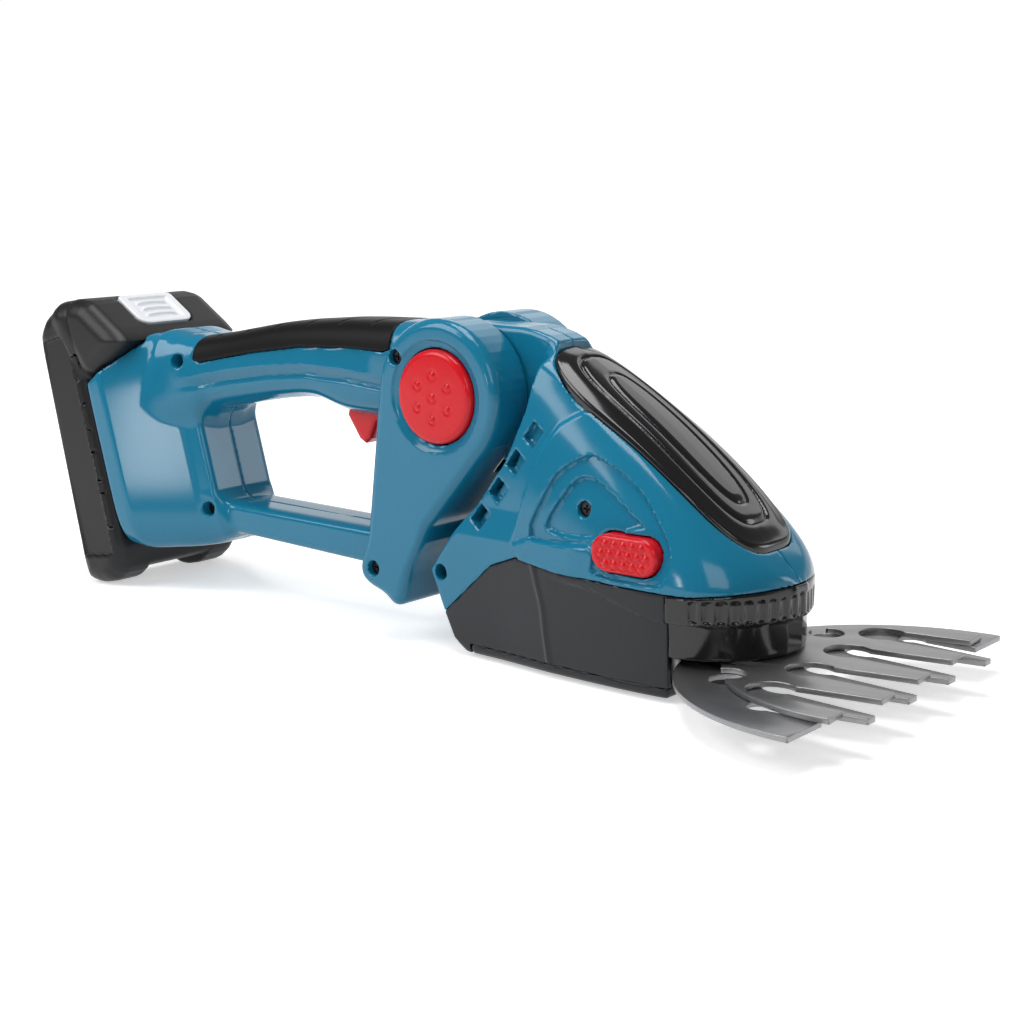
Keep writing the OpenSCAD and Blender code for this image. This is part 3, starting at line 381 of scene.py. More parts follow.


# The edge value of a finish is the strength of its painted edge highlight.
FINISHES = {
    "teal_shell": dict(color=(0.006, 0.16, 0.275), rough=0.12, bump=0.015, edge_highlight=0.3, shine=0.38),
    "rubber_pad": dict(color=(0.004, 0.004, 0.0045), rough=0.42, grain=2600, bump=0.25, spread=0.2,
                       shine=0.12),
    "steel": dict(color=(0.56, 0.57, 0.58), rough=0.28, metal=1, stretch=(1, 0.05, 1)),
    "screw": dict(color=(0.03, 0.03, 0.032), rough=0.35, metal=0.8),
    "dark_plastic": dict(color=(0.02, 0.02, 0.022), rough=0.45, bump=0.1),
    "red": dict(color=(0.6, 0.005, 0.012), rough=0.2, bump=0.02, edge_highlight=0.25, shine=0.3),
    "battery_black": dict(color=(0.006, 0.006, 0.007), rough=0.38, grain=2200, bump=0.16, spread=0.15,
                          edge_highlight=0.25, shine=0.3),
    "pale_latch": dict(color=(0.72, 0.74, 0.77), rough=0.35, bump=0.05),
    "gloss_black": dict(color=(0.005, 0.005, 0.006), rough=0.12, bump=0.01),
    "dark_base": dict(color=(0.008, 0.009, 0.012), rough=0.33, grain=2200, bump=0.12, spread=0.15, edge_highlight=0.25,
                      shine=0.34),
    "cast_frame": dict(color=(0.45, 0.46, 0.47), rough=0.5, metal=0.9, bump=0.2),
    "motor_steel": dict(color=(0.3, 0.31, 0.32), rough=0.35, metal=1),
    "rotor": dict(color=(0.35, 0.17, 0.08), rough=0.45, metal=0.8, stretch=(1, 1, 0.1)),
    "brass_gear": dict(color=(0.62, 0.45, 0.18), rough=0.3, metal=1),
    "gear_plastic": dict(color=(0.7, 0.68, 0.6), rough=0.45),
    "blade_steel": dict(color=(0.27, 0.27, 0.275), rough=0.36, metal=0.9, grain=700, spread=0.16, bump=0.12,
                        stretch=(0.06, 1, 1)),
}
MATERIALS = {name: material(name, **finish) for name, finish in FINISHES.items()}

# Head. Outlines are (x, z) seen from the side.

HINGE = (-65, 100)
SEAM, HALF_SEAM = 0.12, 0.06  # gaps at the belt and at the middle plane
SCREW_R = 3.1
HEAD_REAR, HEAD_LEN, HEAD_HALF, HEAD_TALL, WAIST = -66, 146, 38, 120, 40
HEAD_TIP = HEAD_REAR + HEAD_LEN
HEAD = [  # shares of the head's length, height and half width
    (-0.08, 0.920, 0.745), (0.12, 0.985, 0.79), (0.22, 1.005, 0.82), (0.30, 0.990, 0.86), (0.38, 0.940, 0.90),
    (0.50, 0.850, 0.95), (0.62, 0.750, 0.99), (0.74, 0.635, 1.00), (0.84, 0.530, 0.94), (0.91, 0.458, 0.78),
    (0.955, 0.408, 0.56), (0.985, 0.368, 0.31), (1.00, 0.338, 0.12),
]
LOW = [(0.93, 0), (0.965, 0.12), (0.985, 0.62), (1, 1)]  # section below the waist, in shares
CROWN = [(0.985, 0.16), (0.95, 0.34), (0.895, 0.52), (0.82, 0.70), (0.735, 0.83), (0.63, 0.92), (0.48, 0.965),
         (0.26, 0.99), (0, 1)]
BELT = [(-80.6, 14.4), (-63, 15.2), (-38.3, 37.2), (-25.1, 42.4), (-3.2, 40), (53.7, 39.2), (94.6, 42.8)]
REAR = [(-49.9, -2.4), (-58.7, 5), (-63.1, 14), (-70.4, 31), (-36.1, 78), (-28, 97.2), (-17.8, 140.4),
        (94.6, 140.4), (94.6, -2.4)]
LOFT_ROWS, CROWN_ROWS = 300, 120
MID_Z = 22  # height of the axis that the head's table turns about
TABLE_LO, TABLE_HI, TABLE_ROWS, TABLE_TURNS = -78, 80, 320, 241
BLUR, BLUR_REACH = 8, 2.5
LEAST_REACH = 5  # least radius that a slope round the axis is divided by


def head_table():
    """Smoothed reach of the head's skin by x and by angle, and how much it slopes there."""
    rows = curve(HEAD, LOFT_ROWS)
    turn = np.linspace(-math.pi / 2, math.pi / 2, TABLE_TURNS)
    reach = []
    for _, tall, wide in rows:
        half, roof = HEAD_HALF * wide, HEAD_TALL * tall
        flank = [(half * a, WAIST * b) for a, b in LOW]
        flank += [(half * a, WAIST + (roof - WAIST) * b) for a, b in CROWN]
        ring = np.vstack([[0, 0], flank[0], curve(flank[1:], CROWN_ROWS)])
        angle = np.arctan2(ring[:, 1] - MID_Z, ring[:, 0])
        angle[0] = -math.pi / 2
        reach.append(np.interp(turn, angle, np.hypot(ring[:, 0], ring[:, 1] - MID_Z)))
    x = HEAD_REAR + rows[:, 0] * HEAD_LEN
    even = np.linspace(TABLE_LO, TABLE_HI, TABLE_ROWS)
    reach = np.array(reach)
    table = np.stack([np.interp(even, x, reach[:, i]) for i in range(len(turn))], 1)
    bell = np.exp(-np.linspace(-BLUR_REACH, BLUR_REACH, 2 * BLUR + 1) ** 2)
    bell /= bell.sum()
    for axis in (0, 1):
        pad = [(BLUR, BLUR) if a == axis else (0, 0) for a in (0, 1)]
        wide = np.pad(table, pad, "reflect", reflect_type="odd")
        table = np.apply_along_axis(np.convolve, axis, wide, bell, "valid")
    slope = np.gradient(table, even, axis=0)
    twist = np.gradient(table, turn, axis=1) / np.maximum(table, LEAST_REACH)
    return table, np.sqrt(1 + slope**2 + twist**2)


HEAD_R, HEAD_G = head_table()


def look_up(table, u, v):
    """Value between the rows and columns of a table."""
    i, j = np.clip(u.astype(int), 0, table.shape[0] - 2), np.clip(v.astype(int), 0, table.shape[1] - 2)
    a, b = np.clip(u - i, 0, 1), np.clip(v - j, 0, 1)
    return (table[i, j] * (1 - a) * (1 - b) + table[i + 1, j] * a * (1 - b) + table[i, j + 1] * (1 - a) * b
            + table[i + 1, j + 1] * a * b)


def head_form(x, y, z):
    """The head's outer surface."""
    r = np.hypot(y, z - MID_Z)
    v = (np.arctan2(z - MID_Z, np.abs(y)) / math.pi + 0.5) * (TABLE_TURNS - 1)
    u = (x - TABLE_LO) / (TABLE_HI - TABLE_LO) * (TABLE_ROWS - 1) + 0 * v
    body = (r - look_up(HEAD_R, u, v)) / look_up(HEAD_G, u, v)
    return rmax(np.maximum(body, x - HEAD_TIP), poly(x, z, REAR), r=1.4)


ARCH = [(-28, 44), (-22, 65), (-16, 82), (-8, 93), (0, 98), (8, 99), (17, 97), (26, 91), (38, 80), (60, 60),
        (60, -20), (-28, -20)]
NEST = [(-18, 51), (-10, 72), (-4, 79), (5, 84), (12, 84), (28, 76), (41, 63), (47, 52), (45, 43), (40, 41),
        (14, 42), (11, 51)]
LEDGE = [(-27, 47.5), (-18, 51), (16, 51.5), (16, 30), (-12, 30), (-22, 41)]
POCKET = [(-11, 55), (-4, 69), (3, 76), (11, 76), (20, 71), (33, 62), (30, 60), (11, 54)]
ARCH_DEEP, NEST_DEEP, LEDGE_HIGH = 2.0, 1.7, 1.4
VENTS = [(-21.2, 88.8), (-29, 77.7), (-37, 66.3), (-45, 55.1)]
VENT_COS, VENT_SIN = 0.584, 0.812
VENT_HALF_LEN, VENT_HALF_WIDE, VENT_DEEP = 3.9, 3.2, 5.2
SIDE_BUTTON = hull([(20.5, 51, 7), (35.5, 51, 7)], 32)
SIDE_BUTTON_MID, SIDE_BUTTON_GAP, SIDE_BUTTON_WELL = (28, 51), 0.5, 20
TONGUE = hull([HINGE + (27.2,), (-16.4, 117.6, 0), (-13.4, 76.8, 0), (-31, 79.2, 0), (-28, 126.6, 0)])
TONGUE_HALF = 10.5
HEAD_SCREWS = [((-64.7, 30.7), 20.1), ((5.5, 64.2), 26)]  # place, and depth of the screw's head in y
HEAD_BOSS_R, HEAD_SKIN = 5.8, 6.5
NECK_R, NECK_WALL_R = 31.4, 34.4  # hollow for the handle's cheeks, and the back of its wall
PANEL_X, PANEL_LOW, PANEL_BED = 23.5, 45, 1.5


def panel_edge(x, y):
    """The roof panel's outline from above."""
    return oval(x - PANEL_X, y, 45.5, 22.5, power=0.55)


def head_shell(side):
    nest, pocket, neck_side = smooth_loop(NEST), smooth_loop(POCKET), soften(TONGUE, cut=8)

    def form(x, y, z):
        plain = head_form(x, y, z)
        wide = fade(np.abs(y), start=18, over=8)
        arch = ARCH_DEEP * fade(poly(x, z, ARCH), start=0, over=2.0)
        outer = plain + arch * (1 - fade(x, start=8, over=26)) * fade(z, start=46, over=14) * wide
        for dent in (nest, pocket):
            outer = outer + NEST_DEEP * fade(-poly(x, z, dent), start=0, over=1.0) * wide
        ledge = LEDGE_HIGH * fade(-poly(x, z, LEDGE), start=0, over=0.8)
        outer = outer - ledge * (1 - fade(x, start=2, over=12)) * wide
        ring = rod(x, z, HINGE, 0)
        tongue = rmax(poly(x, z, neck_side), np.abs(y) - TONGUE_HALF, r=2.5)
        neck = np.maximum(rmin(outer, tongue, r=5), NECK_R - ring)
        outer = np.minimum(neck, tongue)
        skin = np.maximum(outer, -np.maximum(plain + HEAD_SKIN, NECK_WALL_R - ring))
        for place, _ in HEAD_SCREWS:
            skin = np.minimum(skin, np.maximum(rod(x, z, place, HEAD_BOSS_R), outer))
        for vx, vz in VENTS:
            u = (x - vx) * VENT_COS + (z - vz) * VENT_SIN
            w = (z - vz) * VENT_COS - (x - vx) * VENT_SIN
            hole = meet(np.abs(u) - VENT_HALF_LEN, np.abs(w) - VENT_HALF_WIDE, -(plain + VENT_DEEP))
            skin = rmax(skin, -hole, r=0.3)
        bed = meet(panel_edge(x, y) - 0.2, -(plain + PANEL_BED), PANEL_LOW - z)
        skin = rmax(skin, -bed, r=0.8)
        well = np.maximum(poly(x, z, SIDE_BUTTON) - SIDE_BUTTON_GAP, SIDE_BUTTON_WELL - np.abs(y))
        skin = rmax(skin, -well, r=0.6)
        if side < 0:
            for place, depth in HEAD_SCREWS:
                skin = rmax(skin, -np.maximum(rod(x, z, place, SCREW_R), y + depth), r=0.4)
        skin = rmax(skin, line(BELT, x) + SEAM - z, r=0.5)
        return rmax(skin, HALF_SEAM - side * y, r=0.35)

    return form


RIB = [tuple(p) for p in curve([(-16, 42), (-13, 32), (-11, 25), (-10, 16), (-8, 4)], 12)]
RIB_HIGH, RIB_WIDE = 0.7, 1.1
PART = [(-9, 38), (13, 36.5), (35, 30.5), (46, 29), (60, 29)]  # line of the tier below the belt
TIER, TIER_START, TIER_RUN = 2.2, -9, 55
BASE_FRONT, BASE_WALL = 45.95, 2.8
BASE_LOW, BASE_LOW_REAR, SOLE_REAR = 4.02, 0.3, -49.8  # the base rests on the sole, and runs down behind it


def base_side(x, y, z):
    """The head's surface with the tier that steps in to the nose."""
    tier = TIER * np.clip((x - TIER_START) / TIER_RUN, 0, 1) * fade(line(PART, x) - z, start=0, over=0.8)
    return head_form(x, y, z) + tier * fade(np.abs(y), start=20, over=4)


def base_form(x, y, z):
    outer = base_side(x, y, z)
    rib = RIB_HIGH * swell(near(x, z, RIB), RIB_WIDE)
    body = rmax(outer - rib, z - line(BELT, x) + SEAM, r=0.5)
    body = np.maximum(body, -(outer + BASE_WALL))
    body = rmax(body, np.where(x < SOLE_REAR, BASE_LOW_REAR, BASE_LOW) - z, r=0.2)
    for place, _ in HEAD_SCREWS:
        body = np.maximum(body, -rod(x, z, place, HEAD_BOSS_R + 0.1))
    return rmax(body, x - BASE_FRONT, r=0.8)


PIVOT_X = 52
SEAT_X, SEAT_R, SEAT_REAR, SEAT_LOW, SEAT_TOP = 46, 17, 8, 0.1, 10.55
DOWEL_Y, DOWEL_R, DOWEL_LOW, DOWEL_TOP = 13, 1.98, 5, 12.55
SOLE_TOP, SOLE_END, PIVOT_HOLE_R, PIVOT_HOLE_LOW = 3.98, -49.5, 4.02, 4
SOLE_SIDE_LOW = 4.4  # height below which the sole's sides stay upright


def sole_form(x, y, z):
    """Flat sole, with a round-nosed seat for the comb, its dowels and the pivot's hole."""
    outer = base_side(x, y, np.maximum(z, SOLE_SIDE_LOW))
    plate = rmax(rmax(rmax(outer, x - BASE_FRONT, r=0.8), -z, r=2.4), z - SOLE_TOP, r=0.15)
    plate = rmax(plate, SOLE_END - x, r=1.5)
    plan = np.maximum(np.abs(y) - SEAT_R, slab(x, SEAT_REAR, SEAT_X))
    plan = np.minimum(plan, rod(x, y, (SEAT_X, 0), SEAT_R))
    seat = rmax(plan, slab(z, SEAT_LOW, SEAT_TOP), r=0.3)
    dowel = np.maximum(rod(x, np.abs(y), (SEAT_X, DOWEL_Y), DOWEL_R), slab(z, DOWEL_LOW, DOWEL_TOP))
    hole = np.maximum(rod(x, y, (PIVOT_X, 0), PIVOT_HOLE_R), PIVOT_HOLE_LOW - z)
    return np.maximum(np.minimum(np.minimum(plate, seat), dowel), -hole)


NOSE_REAR, NOSE_LOW, NOSE_TIER, NOSE_TIER_IN = 46.05, 15.62, 29, 2.4
NOSE_WALL, NOSE_FLOOR, NOSE_HOLE_R = 5.2, 18.4, 6.8
FLUTES, FLUTE_STEP, FLUTE_R, FLUTE_OUT = 19, 5.0, 2.5, 1.8
FLUTE_LOW, FLUTE_HIGH, FLUTE_HALF = 30, 38, 37.6


def flutes():
    """Places of the nose's flutes, evenly spaced round the front of the head."""
    plan = [(HEAD_REAR + HEAD_LEN * a, FLUTE_HALF * w) for a, _, w in curve(HEAD, LOFT_ROWS) if a > 0.8]
    plan = np.array(plan + [(x, -y) for x, y in plan[::-1]])
    run = np.concatenate([[0], np.cumsum(np.hypot(*np.diff(plan, axis=0).T))])
    out = []
    for t in (np.arange(FLUTES) - FLUTES // 2) * FLUTE_STEP + run[-1] / 2:
        (ax, bx), (ay, by) = (np.interp([t - 0.5, t + 0.5], run, plan[:, i]) for i in (0, 1))
        out.append(((ax + bx) / 2 + FLUTE_OUT * (ay - by), (ay + by) / 2 + FLUTE_OUT * (bx - ax)))
    return out


FLUTE_PLACES = flutes()


def nose_form(x, y, z):
    outer = head_form(x, y, z)
    upper = rmax(rmax(outer, z - line(BELT, x) + SEAM, r=0.7), NOSE_TIER - z, r=0.8)
    for place in FLUTE_PLACES:
        flute = rmax(rod(x, y, place, FLUTE_R), slab(z, FLUTE_LOW, FLUTE_HIGH), r=0.9)
        upper = rmax(upper, -flute, r=0.3)
    lower = rmax(rmax(outer + NOSE_TIER_IN, z - NOSE_TIER - 0.5, r=0.3), NOSE_LOW - z, r=1.2)
    body = rmin(upper, lower, r=0.6)
    body = np.maximum(body, -np.maximum(outer + NOSE_WALL, NOSE_FLOOR - z))
    body = np.maximum(body, -rod(x, y, (PIVOT_X, 0), NOSE_HOLE_R))
    return rmax(body, NOSE_REAR - x, r=0.3)


PANEL_RISE, PANEL_DOME = 1.3, 0.5
PANEL_LINES = [  # shift, half length and width, squareness, line's depth and width, and step up
    (0, 37.5, 14.5, 0.6, 0.9, 0.8, 0.2),
    (2, 29, 8.5, 0.7, 0.5, 0.7, 0.4),
]


def panel_form(x, y, z):
    """Roof panel with two lines round its middle, each with a step up inside it."""
    outer = head_form(x, y, z)
    d = panel_edge(x, y)
    rise = PANEL_RISE + PANEL_DOME * fade(-d, start=1, over=6)
    for shift, half_long, half_wide, power, deep, width, up in PANEL_LINES:
        edge = oval(x - PANEL_X - shift, y, half_long, half_wide, power)
        rise = rise - deep * swell(edge, width) + up * fade(-edge, start=0, over=3)
    return rmax(rmax(d, outer - rise, r=0.9), -(outer + PANEL_BED - SEAM), r=0.2)


# Handle. The foot has axes of its own, n forward out of the battery's face and t up along it.

FOOT = (-257, 60)
LEAN = (math.cos(math.radians(16)), math.sin(math.radians(16)))
CHEEK_OUT, HUB_R, FOLD = 31.5, 33, math.radians(60)
CHEEK = hull([HINGE + (30,), (-99, 27.5, 4.5), (-80.5, 42.5, 4.5)])
TOE = hull([(-99, 27.5, 4.5), (-80.5, 42.5, 4.5), (-87, 18.5, 4.5)])
GRIP_REAR, GRIP_FRONT = -230, -81.5
GRIP = [  # x, middle height, half height and half width
    (-230, 93, 17.48, 20.72), (-216.8, 95.5, 17.1, 19.98), (-197, 99.5, 16.34, 18.5),
    (-167.3, 105, 16.34, 17.9), (-147.5, 106.8, 16.72, 17.9), (-127.7, 105.5, 19.57, 18.1),
    (-98, 106, 19.95, 18.5), (-81.5, 107, 19, 18.5),
]
FOOT_DEEP = 47
FOOT_ROWS = [  # n, lower end and upper end
    (0, -44.2, 48), (9.4, -47.5, 48), (19.7, -49.4, 47.5), (29.1, -50.9, 46.6), (38.5, -51.4, 44.2),
    (47, -49.4, 38.4),
]
FOOT_HALF = [(0, 36.6), (8, 36.4), (10, 35.9), (37, 21.2), (40, 19.8), (47, 17.4)]
BAR_REAR, BAR_LEN, BAR_START, BAR_END, BAR_HALF = -210, 118, -214, -92, 14.5
BAR_MID, BAR_FALL, BAR_TALL, BAR_GROWTH = 34.3, 3.4, 6.44, 1.54
PAD = [(-99.6, 150), (-99.6, 115), (-103.8, 113.5), (-124.4, 114), (-150.8, 112.5), (-180.5, 108),
       (-210.2, 102), (-214.3, 103), (-214.3, 150)]
PAD_DEEP, PAD_BED = 2.0, 2.1
RIDGE = [(-240, 90), (-217, 95), (-197, 99), (-173, 103), (-149, 105.5), (-127, 105), (-110, 103.5),
         (-90, 102)]
GROOVE, GROOVE_RUN, GROOVE_BACK = 2.4, 4, 1.4
LEAN_IN, LEAN_MOST = 0.16, 1.4  # slope of the grip's side above the ridge
HANDLE_WALL, HANDLE_POST_R = 3, 4.6
HANDLE_SCREWS = [((-85.6, 114), 26.1), ((-98, 28), 26.1), ((-221.8, 102), 13.1), ((-206.9, 37.5), 13.1)]
PACK = [(-31.5, -50.4), (-28.4, -57), (-9.2, -58.2), (-0.5, -46.8), (-0.5, 69), (-15.4, 69), (-25.3, 61.8),
        (-27.2, 55.2)]
LATCH_HOUSE = [(-0.5, 31), (28, 43), (28, 45.8), (6.9, 69.9), (-15.4, 69)]
PACK_GAP = 0.4
DISH_R, DISH_Y, DISH_RIM, DISH_RIM_R = 21.8, 30.2, 0.5, 19.5
BUTTON_WELL_R, BUTTON_WELL_Y = 18.9, 19.6
FORK_R, FORK_FRONT, FORK_LOW, FORK_HALF, FORK_GAP = 27.8, -5, 70, 11.1, 0.7
RAIL_END, RAIL_LOW, RAIL_HIGH = 15.5, -39.6, 96
RAIL_NECK, RAIL_NECK_HALF, RAIL_LIP, RAIL_LIP_HALF = -3, 15, 3.3, 22.5
TERMINAL_FROM, TERMINAL_TO, TERMINAL_HALF = 14, 29, 15.5
PULL_REAR, PULL_FRONT, PULL_LOW, PULL_HIGH, PULL_HALF = -140.8, -101.2, 73, 107, 7


def to_foot(x, z):
    dx, dz = x - FOOT[0], z - FOOT[1]
    return dx * LEAN[0] + dz * LEAN[1], dz * LEAN[0] - dx * LEAN[1]


def grip_form(x, y, z):
    mid, tall, wide = (along(GRIP, x, c) for c in (1, 2, 3))
    return np.maximum(oval(y, z - mid, wide, tall, power=0.55), slab(x, GRIP_REAR, GRIP_FRONT))


def foot_form(x, y, z):
    n, t = to_foot(x, z)
    down, up = along(FOOT_ROWS, n, 1), along(FOOT_ROWS, n, 2)
    side = oval(y, t - (up + down) / 2, line(FOOT_HALF, n), (up - down) / 2, power=0.3)
    return rmax(side, slab(n, 0, FOOT_DEEP), r=2)


def bar_form(x, y, z):
    """Lower bar, which falls and thickens to the front."""
    s = (x - BAR_REAR) / BAR_LEN
    side = oval(y, z - (BAR_MID - BAR_FALL * s), BAR_HALF + 0 * s, BAR_TALL + BAR_GROWTH * s, power=0.3)
    return np.maximum(side, slab(x, BAR_START, BAR_END))


def grooved_grip(x, y, z, grip):
    """The grip with a ledge along its side, and leaning in above it."""
    below, side = line(RIDGE, x) - z, np.abs(y)
    rear = fade(x, start=-226, over=24)
    groove = GROOVE * np.clip(below / GROOVE_RUN, 0, 1) - GROOVE_BACK * fade(below, start=GROOVE_RUN, over=2)
    lean = LEAN_IN * np.maximum(-below, 0) * (1 - fade(x, start=-118, over=12))
    lean = lean * rear * fade(side, start=8, over=8)
    groove = groove * (1 - fade(x, start=-106, over=6)) * rear * fade(side, start=6, over=6)
    return grip + np.minimum(lean, LEAN_MOST) + groove


def handle_shell(side):
    c, s = math.cos(FOLD), math.sin(FOLD)
    arms = [(px - HINGE[0], pz - HINGE[1]) for px, pz in TONGUE]
    swept = [(HINGE[0] + u * c - w * s, HINGE[1] + u * s + w * c) for u, w in arms]

    def form(x, y, z):
        n, t = to_foot(x, z)
        half, ring = np.abs(y), rod(x, z, HINGE, 0)
        arm = rmax(rmin(poly(x, z, CHEEK), poly(x, z, TOE), r=8), half - CHEEK_OUT, r=4)
        grip, pad = grip_form(x, y, z), poly(x, z, PAD)
        solid = rmin(foot_form(x, y, z), grooved_grip(x, y, z, grip), r=9)
        solid = rmin(rmin(solid, bar_form(x, y, z), r=6), arm, r=4)
        hollow = meet(solid + HANDLE_WALL, HUB_R - ring, -(np.maximum(pad, grip) - HANDLE_WALL))
        for place, _ in HANDLE_SCREWS:
            hollow = np.maximum(hollow, -rod(x, z, place, HANDLE_POST_R))
        body = np.maximum(solid, -hollow)
        dish = np.maximum(ring - DISH_R, DISH_Y + DISH_RIM * fade(ring, start=DISH_RIM_R, over=2) - half)
        body = rmax(body, -dish, r=0.5)
        body = rmax(body, -np.maximum(ring - BUTTON_WELL_R, BUTTON_WELL_Y - half), r=0.5)
        body = rmax(body, -np.maximum(pad - SEAM, -(grip + PAD_BED)), r=0.4)
        fork = np.minimum(ring - FORK_R, slab(x, HINGE[0], FORK_FRONT) + 0 * z)
        fork = np.where(z < FORK_LOW, np.maximum(fork, FORK_LOW - z), fork)
        fork = np.minimum(fork, poly(x, z, swept) - FORK_GAP)
        body = rmax(body, -np.maximum(fork, half - FORK_HALF), r=0.8)
        neck = np.maximum(slab(n, RAIL_NECK, RAIL_END), half - RAIL_NECK_HALF)
        lip = np.maximum(slab(n, RAIL_LIP, RAIL_END), half - RAIL_LIP_HALF)
        rail = np.maximum(np.minimum(neck, lip), slab(t, RAIL_LOW, RAIL_HIGH))
        body = rmax(body, -rail, r=0.4)
        contacts = meet(slab(n, TERMINAL_FROM, TERMINAL_TO), half - TERMINAL_HALF, np.abs(t) - TERMINAL_HALF)
        body = np.maximum(body, -contacts)
        pull = meet(slab(x, PULL_REAR, PULL_FRONT), half - PULL_HALF, slab(z, PULL_LOW, PULL_HIGH))
        body = rmax(body, -pull, r=0.4)
        pack = np.minimum(poly(n, t, PACK), poly(n, t, LATCH_HOUSE)) - PACK_GAP
        body = rmax(body, -pack, r=0.4)
        if side < 0:
            for place, depth in HANDLE_SCREWS:
                body = rmax(body, -np.maximum(rod(x, z, place, SCREW_R), y + depth), r=0.4)
        return rmax(body, HALF_SEAM - side * y, r=0.35)

    return form


PAD_CUTS = [-202 + 18 * i for i in range(6)]
PAD_CUT, PAD_CUT_WIDE, PAD_CUT_SLANT = 0.7, 0.7, 0.12


def pad_form(x, y, z):
    grip = grip_form(x, y, z)
    middle = (1 - fade(np.abs(y), start=10, over=5)) * fade(z, start=105, over=5)
    cut = sum(PAD_CUT * swell(x - gx - PAD_CUT_SLANT * y, PAD_CUT_WIDE) * middle for gx in PAD_CUTS)
    top = rmax(grip + cut, poly(x, z, PAD) + SEAM, r=0.9)
    return np.maximum(top, -(grip + PAD_DEEP))


TRIGGER_PIN, TRIGGER_REACH, TRIGGER_HALF, TRIGGER_BORE = (-110, 101), 28, 6.5, 2.05
TRIGGER = [  # shares of the reach, from the pin
    (-0.18, 0.20), (0.20, 0.16), (0.20, -0.20), (-0.06, -0.50), (-0.30, -0.66), (-0.42, -0.92),
    (-0.53, -1.00), (-0.64, -0.94), (-0.88, -0.60), (-0.80, -0.22),
]
TRIGGER_SIDE = [(TRIGGER_PIN[0] + TRIGGER_REACH * a, TRIGGER_PIN[1] + TRIGGER_REACH * b) for a, b in TRIGGER]


def trigger_form(x, y, z):
    body = rmax(poly(x, z, TRIGGER_SIDE), np.abs(y) - TRIGGER_HALF, r=2.2)
    return np.maximum(body, -rod(x, z, TRIGGER_PIN, TRIGGER_BORE))


FOLD_R, FOLD_OUT, FOLD_IN, FOLD_CROWN = 18.4, 33.1, 24.1, 0.6
FOLD_BORE, FOLD_BORE_END = 5.4, 31
PIP_RING, PIP_HIGH, PIP_WIDE, PIP_MOAT, PIP_MOAT_R, PIP_MOAT_WIDE = 8.6, 0.75, 0.8, 0.25, 1.7, 0.5
PIP_TURNS = [math.radians(a) for a in range(30, 390, 60)]
PIPS = [HINGE]
PIPS += [(HINGE[0] + PIP_RING * math.cos(a), HINGE[1] + PIP_RING * math.sin(a)) for a in PIP_TURNS]


def fold_button(side):
    def form(x, y, z):
        d, w = rod(x, z, HINGE, 0), side * y
        top = w - FOLD_OUT + FOLD_CROWN * (d / FOLD_R) ** 2
        for place in PIPS:
            p = rod(x, z, place, 0)
            top = top - PIP_HIGH * swell(p, PIP_WIDE) + PIP_MOAT * swell(p - PIP_MOAT_R, PIP_MOAT_WIDE)
        body = rmax(rmax(d - FOLD_R, top, r=2.4), FOLD_IN - w, r=0.4)
        return np.maximum(body, -np.maximum(d - FOLD_BORE, w - FOLD_BORE_END))

    return form


BUTTON_OUT, BUTTON_IN = 38, 29.2
DOT_ROWS, DOT_STEP = ((-3.6, 0), (0, 1.955), (3.6, 0)), 3.91  # height and shift of each row of dots
DOT_HIGH, DOT_WIDE, DOT_MOAT, DOT_MOAT_R, DOT_MOAT_WIDE = 0.5, 0.9, 0.35, 1.75, 0.4
DOT_SPAN, DOT_TAPER = 10.5, 0.3  # reach of the middle row, and what a higher row loses
DOTS = [(SIDE_BUTTON_MID[0] + DOT_STEP * k + shift, SIDE_BUTTON_MID[1] + row) for row, shift in DOT_ROWS
        for k in range(-3, 4) if abs(DOT_STEP * k + shift) < DOT_SPAN - DOT_TAPER * abs(row)]


def blade_button(side):
    def form(x, y, z):
        w = side * y
        top = w - BUTTON_OUT
        for place in DOTS:
            p = rod(x, z, place, 0)
            top = top - DOT_HIGH * swell(p, DOT_WIDE) + DOT_MOAT * swell(p - DOT_MOAT_R, DOT_MOAT_WIDE)
        return rmax(rmax(poly(x, z, SIDE_BUTTON), top, r=1.8), BUTTON_IN - w, r=0.4)

    return form


# Battery. Outlines are in the foot's axes, and the latch has axes along its sloping face and out of it.

BATTERY_HALF, BATTERY_ROUND = 37.5, 8
INSET = [(-24, -42), (-9, -44), (-8, 47), (-10, 53), (-20.5, 53), (-23.5, 20)]
INSET_Y, INSET_GROW = 36.0, 2
CLIPS = [(34, 45), (11, 23), (-12, 1), (-34, -18)]
CLIP_FROM, CLIP_TO, CLIP_LINE, CLIP_Y = -6.2, -1.6, 0.35, 35.4
CASE_LINE_N, CASE_LINE_DEEP, CASE_LINE_WIDE = -1.1, 0.35, 0.4
UNDER_HALF, UNDER_TOP, UNDER_N = 17, -54, -4
LATCH_HIGH, LATCH_LOW = np.array([6.94, 69.9]), np.array([28, 45.84])
LATCH_RUN = (LATCH_LOW - LATCH_HIGH) / np.linalg.norm(LATCH_LOW - LATCH_HIGH)
LATCH_MID = LATCH_HIGH + (LATCH_LOW - LATCH_HIGH) * 0.42
LATCH = hull([(5.25, 10.25, 5.25), (5.25, -10.25, 5.25), (-7.9, 12.9, 2.6), (-7.9, -12.9, 2.6)], 32)
LATCH_GAP, LATCH_WELL, LATCH_PROUD, LATCH_DEEP, LATCH_DISH = 0.5, 7.6, 0.8, 4, 0.9
LATCH_BARS, LATCH_BAR_HIGH, LATCH_BAR_WIDE, LATCH_BAR_BOW = (-4.6, -0.4, 3.8), 0.9, 0.8, 0.012


def latch_axes(x, z):
    n, t = to_foot(x, z)
    dn, dt = n - LATCH_MID[0], t - LATCH_MID[1]
    return dn * LATCH_RUN[0] + dt * LATCH_RUN[1], dt * LATCH_RUN[0] - dn * LATCH_RUN[1]


